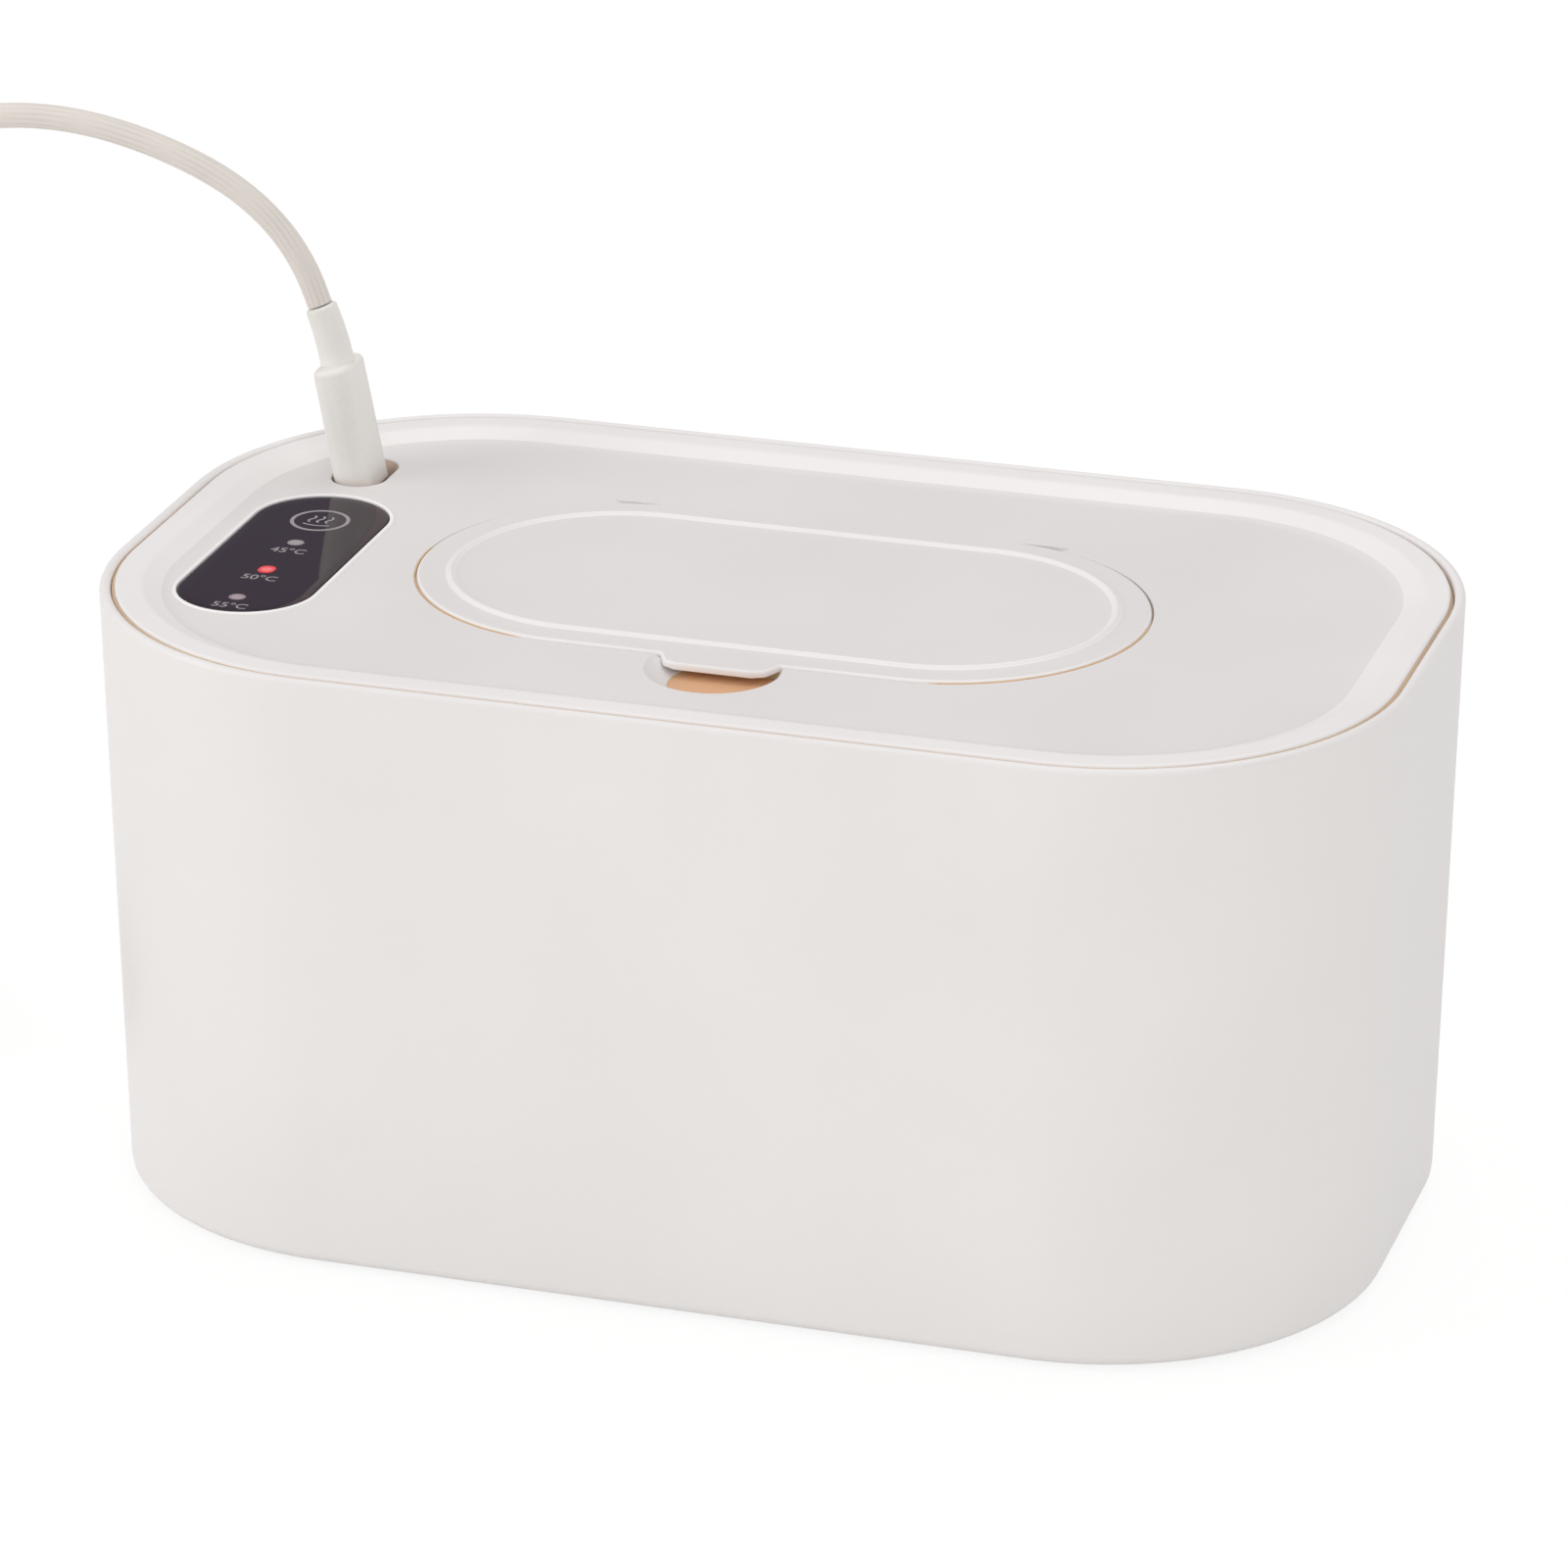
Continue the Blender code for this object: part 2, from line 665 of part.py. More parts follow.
def build_lid_shell():
    """The lid's upper moulding: border, recessed face, cap pocket, panel seat and skirt."""
    groove_top = rim_z - seal_drop - seal_height + seal_root + fit
    groove_bottom = groove_top - seal_root - 2 * fit
    groove = lid_edge + seal_root_depth + close_fit
    under_border_z = rim_z - lid_plate
    border_end = lid_edge + lid_border
    slope_end = border_end + lid_slope
    half_round = lid_edge_round * (1 - sqrt(0.5))
    sections = [
        rim_section(slope_end, plate_under_z),
        rim_section(border_end, under_border_z),
        rim_section(skirt_inner, under_border_z),
        rim_section(skirt_inner, skirt_bottom_z),
        rim_section(lid_edge, skirt_bottom_z),
        rim_section(lid_edge, groove_bottom),
        rim_section(groove, groove_bottom),
        rim_section(groove, groove_top),
        rim_section(lid_edge, groove_top),
        rim_section(lid_edge, rim_z - lid_edge_round),
        rim_section(lid_edge + half_round, rim_z - half_round),
        rim_section(lid_edge + lid_edge_round, rim_z),
        rim_section(border_end, rim_z),
        rim_section(slope_end, face_z),
    ]
    shell = stack("lid_shell", sections)
    body_half_length = pocket_half_length + pocket_wall
    body_half_width = pocket_half_width + pocket_wall
    inside = face_z - lid_plate / 2
    pocket_body = stack(
        "pocket_body",
        [
            stadium_section(body_half_length, body_half_width, pocket_under_z),
            stadium_section(body_half_length, body_half_width, inside),
        ],
        helper=True,
    )
    scoop_body = disc(
        "scoop_body", (0, scoop_y), scoop_radius + pocket_wall, pocket_under_z, inside, segments=32
    )
    join(shell, pocket_body, scoop_body)
    for place, x, y in post_places():
        join(shell, disc("post_" + place, (x, y), post_radius, tray_z + fit, inside, segments=16))
    pad_half_x = panel_width / 2 + pad_border
    pad_half_y = panel_length / 2 + pad_border
    pad_bottom = plate_under_z - panel_pad
    panel_middle = (panel_x, panel_y)
    pad = slab("panel_pad", pad_half_x, pad_half_y, pad_half_x, pad_bottom, inside, panel_middle, helper=True)
    join(shell, pad)
    for x, y in board_posts():
        join(shell, disc("board_post", (x, y), board_post, board_z + close_fit, inside, segments=12))
    ring_half_x = plug_hole_half_width + plug_hole_wall
    ring_half_y = plug_hole_half_length + plug_hole_wall
    plug_middle = (plug_x, plug_y)
    ring_bottom = face_z - plug_hole_depth
    ring_corner = ring_half_x
    ring = slab(
        "plug_ring", ring_half_x, ring_half_y, ring_corner, ring_bottom, inside, plug_middle, helper=True
    )
    join(shell, ring)
    pocket = stack(
        "pocket",
        [
            stadium_section(pocket_half_length, pocket_half_width, pocket_z),
            stadium_section(pocket_half_length, pocket_half_width, face_z + overrun),
        ],
        helper=True,
    )
    scoop = disc("scoop", (0, scoop_y), scoop_radius, pocket_z, face_z + overrun, segments=32)
    passage = stack(
        "passage",
        [
            stadium_section(passage_half_length, passage_half_width, pocket_under_z - overrun),
            stadium_section(passage_half_length, passage_half_width, pocket_z + overrun),
        ],
        helper=True,
    )
    cut(shell, pocket, scoop, passage)
    edge, ramp_end, pin_end = hinge_span()
    for side in (-1, 1):
        cut(shell, swing_ramp(side))
        bore = hinge_pin_radius + hinge_pin_clearance
        start = (side * (edge - overrun), hinge_y, hinge_z)
        end = (side * (pin_end + fit), hinge_y, hinge_z)
        cut(shell, rod("hinge_bore", start, end, bore, segments=12))
    lens_half_x = panel_width / 2 + close_fit
    lens_half_y = panel_length / 2 + close_fit
    seat_z = lens_z - fit
    seat_top = face_z + overrun
    seat_corner = lens_half_x
    seat = slab(
        "lens_seat", lens_half_x, lens_half_y, seat_corner, seat_z, seat_top, panel_middle, helper=True
    )
    window_half_x = panel_width / 2 - lens_ledge
    window_half_y = panel_length / 2 - lens_ledge
    window_bottom = pad_bottom - overrun
    window = slab(
        "lens_window",
        window_half_x,
        window_half_y,
        window_half_x,
        window_bottom,
        lens_z,
        panel_middle,
        helper=True,
    )
    cut(shell, seat, window)
    hole = slab(
        "plug_hole",
        plug_hole_half_width,
        plug_hole_half_length,
        plug_hole_half_width,
        ring_bottom - overrun,
        face_z + overrun,
        plug_middle,
        helper=True,
    )
    cut(shell, hole)
    for x, y in board_posts():
        bore = small_screw[0] + close_fit
        cut(shell, disc("board_bore", (x, y), bore, board_z - overrun, inside, segments=10))
    for place, x, y in post_places():
        bore = lid_screw[0] + close_fit
        top = screw_head_z() + lid_screw_length + fit
        cut(shell, disc("post_bore_" + place, (x, y), bore, tray_z - overrun, top, segments=10))
    return paint(shell, "EEEBE8", 0.4)


def screw_head_z():
    """The outer face of the lid screws' heads, sunk in the tray's underside."""
    return tray_z - screw_cover - fit - lid_screw[2]


def board_edges():
    """Left, right, front and back edges of the control board."""
    left = panel_x - panel_width / 2 - board_side_border
    right = -(pocket_half_length + pocket_wall) - board_margin
    front = panel_y - panel_length / 2 - board_front_border
    back = panel_y + panel_length / 2 + board_back_border
    return left, right, front, back


def board_posts():
    left, right, front, back = board_edges()
    x = (panel_x + panel_width / 2 + right) / 2
    return (x, front + board_post_inset), (x, back - board_post_inset)


def build_lid_seal():
    """The silicone ring in the groove round the lid, whose lip fills the gap to the tub."""
    bottom = rim_z - seal_drop - seal_height
    root_top = bottom + seal_root
    root = lid_edge + seal_root_depth
    lip_top = rim_z - seal_drop
    lip_inner = seal_outer + seal_lip
    sections = [
        rim_section(root, bottom),
        rim_section(seal_outer, bottom),
        rim_section(seal_outer, lip_top),
        rim_section(lip_inner, lip_top),
        rim_section(lip_inner, root_top),
        rim_section(root, root_top),
    ]
    return paint(stack("lid_seal", sections, closed=True), "D2A583", 0.6)


def build_tray():
    """The lid's lower moulding, with a rim inside the skirt and a collar round the passage."""
    outer = skirt_inner + fit
    inner = outer + tray_rim
    rim_top = tray_z + tray_rim_height
    sections = [
        rim_section(outer + sink, tray_under_z),
        rim_section(outer, tray_under_z + sink),
        rim_section(outer, rim_top),
        rim_section(inner, rim_top),
        rim_section(inner, tray_z),
    ]
    tray = stack("lid_tray", sections)
    collar_half_length = passage_half_length + tray_collar
    collar_half_width = passage_half_width + tray_collar
    collar_top = pocket_under_z - fit
    collar = stack(
        "collar",
        [
            stadium_section(collar_half_length, collar_half_width, tray_z - sink),
            stadium_section(collar_half_length, collar_half_width, collar_top),
        ],
        helper=True,
    )
    seat_top = -socket_mouth_depth - socket_height - close_fit - socket_board_thickness - fit
    seat_bottom = -(face_z - tray_z + tray_plate / 2) / cos(plug_lean)
    seat_low = (-socket_board_half_width, -socket_board_half_length, seat_bottom)
    seat_high = (socket_board_half_width, socket_board_half_length, seat_top)
    seat = placed(block("socket_seat", seat_low, seat_high, helper=True), plug_frame())
    join(tray, collar, seat)
    passage = stack(
        "tray_passage",
        [
            stadium_section(passage_half_length, passage_half_width, tray_under_z - overrun),
            stadium_section(passage_half_length, passage_half_width, collar_top + overrun),
        ],
        helper=True,
    )
    cut(tray, passage)
    for place, x, y in post_places():
        clear = lid_screw[0] + fit
        head = lid_screw[1] + fit
        cut(tray, disc("tray_hole", (x, y), clear, tray_under_z - overrun, tray_z + overrun, segments=12))
        well_top = tray_z - screw_cover
        cut(tray, disc("tray_well", (x, y), head, tray_under_z - overrun, well_top, segments=16))
    for x, y in plate_screw_places():
        bore = small_screw[0] + close_fit
        bore_top = plate_screw_top() + fit
        cut(tray, disc("plate_bore", (x, y), bore, tray_under_z - overrun, bore_top, segments=10))
    half_x, half_y, _ = (size / 2 + fit for size in sensor_size)
    low = (sensor_x - half_x, sensor_shift - half_y, tray_under_z - overrun)
    high = (sensor_x + half_x, sensor_shift + half_y, tray_z + overrun)
    cut(tray, block("sensor_window", low, high, helper=True))
    half_x = fuse_radius + fit
    half_y = fuse_length / 2 + fit
    low = (sensor_x - half_x, -fuse_shift - half_y, tray_under_z - overrun)
    high = (sensor_x + half_x, half_y - fuse_shift, tray_z + overrun)
    cut(tray, block("fuse_window", low, high, helper=True))
    x, y, _ = lead_start()
    cut(tray, disc("lead_hole", (x, y), lead_hole, tray_under_z - overrun, tray_z + overrun, segments=14))
    for side in (-1, 1):
        bore = small_screw[0] + close_fit
        start = (side * socket_screw_place, 0, seat_top + overrun)
        end = (side * socket_screw_place, 0, seat_top - small_screw_length)
        cut(tray, placed(rod("socket_bore", start, end, bore, segments=10), plug_frame()))
    return paint(tray, "E4E1DE", 0.5)


def build_lid_screws():
    for place, x, y in post_places():
        head_top = Matrix.Translation((x, y, screw_head_z()))
        screw_piece("lid_screw_" + place, lid_screw, lid_screw_length, head_top)


def plate_screw_places():
    x = plate_half_length - plate_screw_inset
    y = plate_half_width - plate_screw_inset
    return (-x, -y), (x, -y), (x, y), (-x, y)


def plate_screw_top():
    return plate_bottom_z - close_fit - small_screw[2] + small_screw_length + tray_plate / 2


def build_warming_plate():
    """The aluminium plate that warms the top of the wipes, with a heating film bonded above it."""
    plate = slab("warming_plate", plate_half_length, plate_half_width, plate_corner, plate_bottom_z, plate_z)
    hole_length = passage_half_length + hole_step
    hole_width = passage_half_width + hole_step
    low, high = plate_bottom_z - overrun, plate_z + overrun
    cut(plate, slab("plate_hole", hole_length, hole_width, hole_width, low, high, helper=True))
    film_bottom = film_z - film_thickness
    film_half_length = plate_half_length - film_inset
    film_half_width = plate_half_width - film_inset
    film_corner = plate_corner - film_inset
    film = slab("heating_film", film_half_length, film_half_width, film_corner, film_bottom, film_z)
    hole_length += hole_step
    hole_width += hole_step
    film_low, film_high = film_bottom - overrun, film_z + overrun
    cut(film, slab("film_hole", hole_length, hole_width, hole_width, film_low, film_high, helper=True))
    names = ("front_left", "front_right", "back_right", "back_left")
    for name, (x, y) in zip(names, plate_screw_places()):
        clear = small_screw[0] + fit
        cut(plate, disc("plate_screw_hole", (x, y), clear, low, high, segments=12))
        cut(film, disc("film_screw_hole", (x, y), clear + fit, film_low, film_high, segments=12))
        head_z = plate_bottom_z - close_fit - small_screw[2]
        head_top = Matrix.Translation((x, y, head_z))
        screw_piece("plate_screw_" + name, small_screw, plate_screw_top() - head_z, head_top)
    paint(plate, "C9CBCC", 0.35, 1.0)
    paint(film, "B5712E", 0.45)


def build_temperature_parts():
    """A sensor and a thermal fuse that look through windows of the tray onto the film."""
    half_x, half_y, height = sensor_size[0] / 2, sensor_size[1] / 2, sensor_size[2]
    x, y = sensor_x, sensor_shift
    bottom = film_z + fit
    high = (x + half_x, y + half_y, bottom + height)
    sensor = block("temperature_sensor", (x - half_x, y - half_y, bottom), high)
    paint(sensor, "2B2B2D", 0.5)
    y = -fuse_shift
    middle_z = film_z + close_fit + fuse_radius
    start = (x, y - fuse_length / 2, middle_z)
    end = (x, y + fuse_length / 2, middle_z)
    fuse = rod("thermal_fuse", start, end, fuse_radius, segments=14, helper=False)
    paint(fuse, "D8D4C4", 0.4)


def build_panel():
    """The dark lens in the lid's face, and the lamps, touch pad and board under it."""
    half_x, half_y = panel_width / 2, panel_length / 2
    middle = (panel_x, panel_y)
    lens = slab("panel_lens", half_x, half_y, half_x, lens_z, face_z, middle, steps=corner_steps)
    paint(lens, "433C42", 0.08)
    shield_half_x = half_x - lens_ledge - fit
    shield_half_y = half_y - lens_ledge - fit
    shield_bottom = board_z + fit
    shield = slab(
        "light_shield", shield_half_x, shield_half_y, shield_half_x, shield_bottom, shield_top_z, middle
    )
    paint(shield, "1D1C1E", 0.6)
    touch = (panel_x, panel_front + panel_length * touch_share)
    well_low, well_high = shield_bottom - overrun, shield_top_z + overrun
    cut(shield, disc("touch_well", touch, touch_well, well_low, well_high))
    touch_low, touch_high = board_z + close_fit, lens_z - close_fit
    pad = disc("touch_pad", touch, touch_radius, touch_low, touch_high, segments=18, helper=False)
    paint(pad, "B87333", 0.4, 1.0)
    for name, share in led_shares.items():
        y = panel_front + panel_length * share
        cut(shield, disc("led_well", (panel_x, y), led_well, well_low, well_high, segments=16))
        bottom = board_z + close_fit
        low = (panel_x - led_size[0] / 2, y - led_size[1] / 2, bottom)
        high = (panel_x + led_size[0] / 2, y + led_size[1] / 2, bottom + led_size[2])
        led = block("led_" + name, low, high)
        paint(led, "F03040" if name == "middle" else "9A8F93", 0.3)
    left, right, front, back = board_edges()
    middle = ((left + right) / 2, (front + back) / 2)
    half_x, half_y = (right - left) / 2, (back - front) / 2
    board = slab("control_board", half_x, half_y, board_corner, board_under_z, board_z, middle)
    for number, (x, y) in enumerate(board_posts()):
        clear = small_screw[0] + fit
        cut(board, disc("board_hole", (x, y), clear, board_under_z - overrun, board_z + overrun, segments=12))
        head_z = board_under_z - close_fit - small_screw[2]
        name = "board_screw_" + ("front", "back")[number]
        screw_piece(name, small_screw, small_screw_length, Matrix.Translation((x, y, head_z)))
    paint(board, "1F5A3C", 0.5)
    half_x, half_y, height = chip_size[0] / 2, chip_size[1] / 2, chip_size[2]
    top = board_under_z - close_fit
    low = (panel_x - half_x, panel_y - half_y, top - height)
    chip = block("control_chip", low, (panel_x + half_x, panel_y + half_y, top))
    paint(chip, "26262A", 0.5)


def leaning(name, half_x, half_y, corner, bottom, top, helper=False, steps=small_steps):
    """A slab in the plug's leaning frame."""
    return placed(slab(name, half_x, half_y, corner, bottom, top, steps=steps, helper=helper), plug_frame())


def build_socket():
    """The power socket, its tongue and its own small board on a sloping seat of the tray."""
    inner_x = plug_tip_half_thickness + close_fit
    inner_y = plug_tip_half_width + close_fit
    top = -socket_mouth_depth
    bottom = top - socket_height
    outer_x, outer_y = inner_x + socket_wall, inner_y + socket_wall
    shell = leaning("socket_shell", outer_x, outer_y, outer_x, bottom, top)
    floor = bottom + socket_wall
    cut(shell, leaning("socket_inside", inner_x, inner_y, inner_x, floor, top + overrun, helper=True))
    paint(shell, "C2C4C6", 0.3, 1.0)
    tongue_bottom = bottom + socket_wall + close_fit
    corner = tongue_half_thickness / 2
    tongue_top = tongue_bottom + tongue_height
    tongue = leaning(
        "socket_tongue", tongue_half_thickness, tongue_half_width, corner, tongue_bottom, tongue_top, steps=2
    )
    paint(tongue, "1E1E20", 0.5)
    board_top = bottom - close_fit
    board_bottom = board_top - socket_board_thickness
    corner = socket_board_thickness
    board = leaning(
        "socket_board",
        socket_board_half_width,
        socket_board_half_length,
        corner,
        board_bottom,
        board_top,
        steps=3,
    )
    paint(board, "1F5A3C", 0.5)
    for side, name in ((-1, "left"), (1, "right")):
        x = side * socket_screw_place
        clear = small_screw[0] + fit
        low, high = (x, 0, board_bottom - overrun), (x, 0, board_top + overrun)
        cut(board, placed(rod("socket_board_hole", low, high, clear, segments=12), plug_frame()))
        head_top = Matrix.Translation((x, 0, board_top + close_fit + small_screw[2]))
        turn = Matrix.Rotation(pi, 4, "X")
        length = small_screw_length - fit
        screw_piece("socket_screw_" + name, small_screw, length, plug_frame() @ head_top @ turn)


def sensor_lead_end():
    """Where the sensor's lead meets the control board."""
    left, right, front, back = board_edges()
    return right - lead_inset, board_posts()[0][1] + board_post + lead_inset


def lead_start():
    """Where the film's two leads pass up through the tray."""
    x = -plate_half_length + film_inset + lead_inset
    return x, sensor_lead_end()[1] + harness_gap, film_z + fit


def build_leads():
    """Insulated wires inside the lid: film to board, sensor to board, and socket to board."""
    x, y, z = lead_start()
    end_z = board_under_z - fit
    for side, name in ((-1, "left"), (1, "right")):
        bottom_x = x + side * lead_spacing / 2
        top_x = x + side * lead_spread
        route = [
            (bottom_x, y, z),
            (bottom_x, y, z + lead_spacing),
            (bottom_x, y, tray_z),
            ((bottom_x + top_x) / 2, y - lead_spacing, (tray_z + end_z) / 2),
            (top_x, y - lead_spread, end_z - lead_spacing),
            (top_x, y - lead_spread, end_z),
        ]
        points = smooth_path(route, 2 * lead_radius)
        lead = tube("film_lead_" + name, points, [lead_radius] * len(points), resolution=1)
        paint(lead, "B3342E" if side < 0 else "2A2A2C", 0.5)
    level = tray_z + sensor_lead_radius + fit
    sensor_y = sensor_shift
    start_z = film_z + fit + sensor_size[2] + close_fit
    arch_z = level + sensor_lead_arch
    front = -(passage_half_width + tray_collar) - sensor_lead_corner - lead_inset
    side_x = passage_half_length + sensor_lead_corner
    end_x, end_y = sensor_lead_end()
    route = [
        (sensor_x, sensor_y, start_z),
        (sensor_x, sensor_y, start_z + sensor_lead_arch / 2),
        (sensor_x, sensor_y - sensor_lead_arch / 2, arch_z),
        (sensor_x, sensor_y - sensor_lead_slack, arch_z),
        (sensor_x, -sensor_y - sensor_lead_slack, level + lead_radius),
        (side_x + lead_inset, front + sensor_lead_corner, level),
        (side_x - sensor_lead_corner, front, level),
        (passage_half_width, front - lead_inset, level),
        (-passage_half_width, front - lead_inset, level),
        (sensor_lead_corner - side_x, front, level),
        (end_x, end_y - lead_radius, (level + end_z) / 2 - lead_radius),
        (end_x, end_y, end_z - 2 * link_rise),
        (end_x, end_y, end_z),
    ]
    points = smooth_path(route, 6 * sensor_lead_radius)
    resting = points[:, 1] < sensor_y - sensor_lead_arch / 2
    points[resting, 2] = np.maximum(points[resting, 2], level)
    paint(tube("sensor_lead", points, [sensor_lead_radius] * len(points), resolution=1), "E8E4DC", 0.5)
    board_top = -socket_mouth_depth - socket_height - close_fit
    start = plug_frame() @ Vector((0, -link_place, board_top + fit))
    rise = plug_frame().to_3x3() @ Vector((0, 0, link_rise))
    end = Vector((plug_x + lead_inset, board_edges()[3] - lead_inset, end_z))
    down = Vector((0, 0, link_rise))
    route = [start, start + rise, (start + rise + end - down) / 2, end - down, end]
    points = smooth_path(route, 2 * link_radius)
    paint(tube("link_lead", points, [link_radius] * len(points), resolution=1), "3A3A3D", 0.5)


def build_cap():
    """The hinged cap over the slot: a flush plate with a raised bead and a finger tab."""
    half_round = cap_edge_round * (1 - sqrt(0.5))
    under_z = face_z - cap_plate
    sections = [
        stadium_section(cap_half_length, cap_half_width, under_z),
        stadium_section(cap_half_length, cap_half_width, face_z - cap_edge_round),
        stadium_section(cap_half_length - half_round, cap_half_width - half_round, face_z - half_round),
        stadium_section(cap_half_length - cap_edge_round, cap_half_width - cap_edge_round, face_z),
    ]
    cap = stack("flip_cap", sections)
    tab_tip = -cap_half_width - tab_reach
    shape = bmesh.new()
    outline = [
        (-tab_root_half, -cap_half_width + cap_edge_round + sink),
        (-tab_root_half, -cap_half_width + sink),
        (-tab_tip_half - cap_edge_round, tab_tip + cap_edge_round),
        (-tab_tip_half + cap_edge_round, tab_tip),
    ]
    outline += [(-x, y) for x, y in reversed(outline)]
    tab_top = face_z - tab_drop
    lower = [shape.verts.new((x, y, tab_top - tab_thickness)) for x, y in outline]
    face = shape.faces.new(lower)
    raised = bmesh.ops.extrude_face_region(shape, geom=[face])["geom"]
    top = [vert for vert in raised if isinstance(vert, bmesh.types.BMVert)]
    bmesh.ops.translate(shape, vec=(0, 0, tab_thickness), verts=top)
    tab = finish_mesh("cap_tab", shape, helper=True)
    bead_half = bead_width / 2
    bead_length = cap_half_length - bead_inset
    bead_side = cap_half_width - bead_inset
    bead = stack(
        "cap_bead",
        [
            stadium_section(bead_length + bead_half, bead_side + bead_half, face_z - sink),
            stadium_section(bead_length + bead_half, bead_side + bead_half, face_z),
            stadium_section(bead_length + bead_half / 2, bead_side + bead_half / 2, face_z + bead_height),
            stadium_section(bead_length - bead_half / 2, bead_side - bead_half / 2, face_z + bead_height),
            stadium_section(bead_length - bead_half, bead_side - bead_half, face_z),
            stadium_section(bead_length - bead_half, bead_side - bead_half, face_z - sink),
        ],
        closed=True,
        helper=True,
    )
    rib_middle_length, rib_middle_width = bead_ring()
    rib_outer, rib_inner = cap_rib / 2, -cap_rib / 2
    rib_bottom = pocket_z + fit + seal_sheet + seal_bead + fit
    rib = stack(
        "cap_rib",
        [
            stadium_section(rib_middle_length + rib_outer, rib_middle_width + rib_outer, rib_bottom),
            stadium_section(rib_middle_length + rib_outer, rib_middle_width + rib_outer, under_z + sink),
            stadium_section(rib_middle_length + rib_inner, rib_middle_width + rib_inner, under_z + sink),
            stadium_section(rib_middle_length + rib_inner, rib_middle_width + rib_inner, rib_bottom),
        ],
        closed=True,
        helper=True,
    )
    join(cap, tab, bead, rib)
    edge, ramp_end, pin_end = hinge_span()
    for side, name in ((-1, "left"), (1, "right")):
        bore_start = (side * (edge - hinge_pin_grip - fit), hinge_y, hinge_z)
        bore_end = (side * (edge + overrun), hinge_y, hinge_z)
        bore = hinge_pin_radius + hinge_pin_clearance
        cut(cap, rod("cap_bore", bore_start, bore_end, bore, segments=12))
        pin_start = (side * (edge - hinge_pin_grip), hinge_y, hinge_z)
        pin_tip = (side * pin_end, hinge_y, hinge_z)
        pin = rod("hinge_pin_" + name, pin_start, pin_tip, hinge_pin_radius, segments=12, helper=False)
        paint(pin, "BFC1C3", 0.25, 1.0)
    return paint(cap, "EEEBE8", 0.4)


def bead_ring():
    """Half length and half width of the middle of the seal's bead, which the cap's rib presses."""
    return (
        passage_half_length + mouth_flange + fit + seal_bead_inset,
        passage_half_width + mouth_flange + fit + seal_bead_inset,
    )


def build_cap_seal():
    """The silicone sheet in the pocket: a bead round the passage, an edge, and a scoop lining."""
    bottom = pocket_z + fit
    top = bottom + seal_sheet
    outer_length = pocket_half_length - fit
    outer_width = pocket_half_width - fit
    seal = stack(
        "cap_seal",
        [stadium_section(outer_length, outer_width, bottom), stadium_section(outer_length, outer_width, top)],
    )
    edge_top = top + seal_edge_height
    edge = stack(
        "seal_edge",
        [
            stadium_section(outer_length, outer_width, bottom),
            stadium_section(outer_length, outer_width, edge_top),
            stadium_section(outer_length - seal_edge, outer_width - seal_edge, edge_top),
            stadium_section(outer_length - seal_edge, outer_width - seal_edge, bottom),
        ],
        closed=True,
        helper=True,
    )
    ring_length, ring_width = bead_ring()
    half_bead = seal_bead / 2
    bead = stack(
        "seal_bead",
        [
            stadium_section(ring_length + half_bead, ring_width + half_bead, top - sink),
            stadium_section(ring_length + half_bead / 2, ring_width + half_bead / 2, top + seal_bead),
            stadium_section(ring_length - half_bead / 2, ring_width - half_bead / 2, top + seal_bead),
            stadium_section(ring_length - half_bead, ring_width - half_bead, top - sink),
        ],
        closed=True,
        helper=True,
    )
    lining_top = bottom + scoop_lining
    lining = disc("scoop_lining", (0, scoop_y), scoop_radius - fit, bottom, lining_top, segments=32)
    join(seal, edge, bead, lining)
    hole_length = passage_half_length + mouth_flange + fit
    hole_width = passage_half_width + mouth_flange + fit
    hole_bottom = bottom - overrun
    hole = slab("seal_hole", hole_length, hole_width, hole_width, hole_bottom, top + overrun, helper=True)
    cut(seal, hole)
    return paint(seal, "D2A06E", 0.6)


def build_mouth():
    """The silicone mouth: a thin sheet with a long slot and a wider eye to pull the wipes through."""
    bottom = pocket_z + fit
    top = bottom + mouth_sheet
    half_length = passage_half_length + mouth_flange
    half_width = passage_half_width + mouth_flange
    mouth = slab("wipes_mouth", half_length, half_width, half_width, bottom, top, steps=corner_steps)
    slot = slab(
        "mouth_slot",
        slot_half_length,
        slot_half_width,
        slot_half_width,
        bottom - overrun,
        top + overrun,
        helper=True,
    )
    eye = disc("mouth_eye", (0, 0), slot_eye, bottom - 2 * overrun, top + 2 * overrun, segments=24)
    cut(mouth, slot, eye)
    return paint(mouth, "D6AB8A", 0.55)


def boot_points():
    """The plug's boot: a short bend from the plug's lean towards the lead's."""
    start = grip_length - grip_depth + fit
    route = [(0, start), (-boot_bend / 4, start + boot_length / 2), (-boot_bend, start + boot_length)]
    return [plug_frame() @ Vector((x, 0, z)) for x, z in route]


def free_route():
    """The lead's hand-chosen way, shifted to meet the boot and the coil with a straight end each."""
    boot = smooth_path(boot_points(), boot_radius)
    ahead = (boot[-1] - boot[-2]) / np.linalg.norm(boot[-1] - boot[-2])
    back = np.array([0, 1, 0])
    start, end = boot[-1] + ahead * fit, wound_path()[0] + back * fit
    first, last = start + ahead * cord_diameter, end + back * cord_diameter
    route = np.array(cord_route)
    share = np.linspace(0, 1, len(route))[:, None]
    route += (1 - share) * (first - route[0]) + share * (last - route[-1])
    return np.array([start, *smooth_path(route, cord_step * cord_diameter), end])


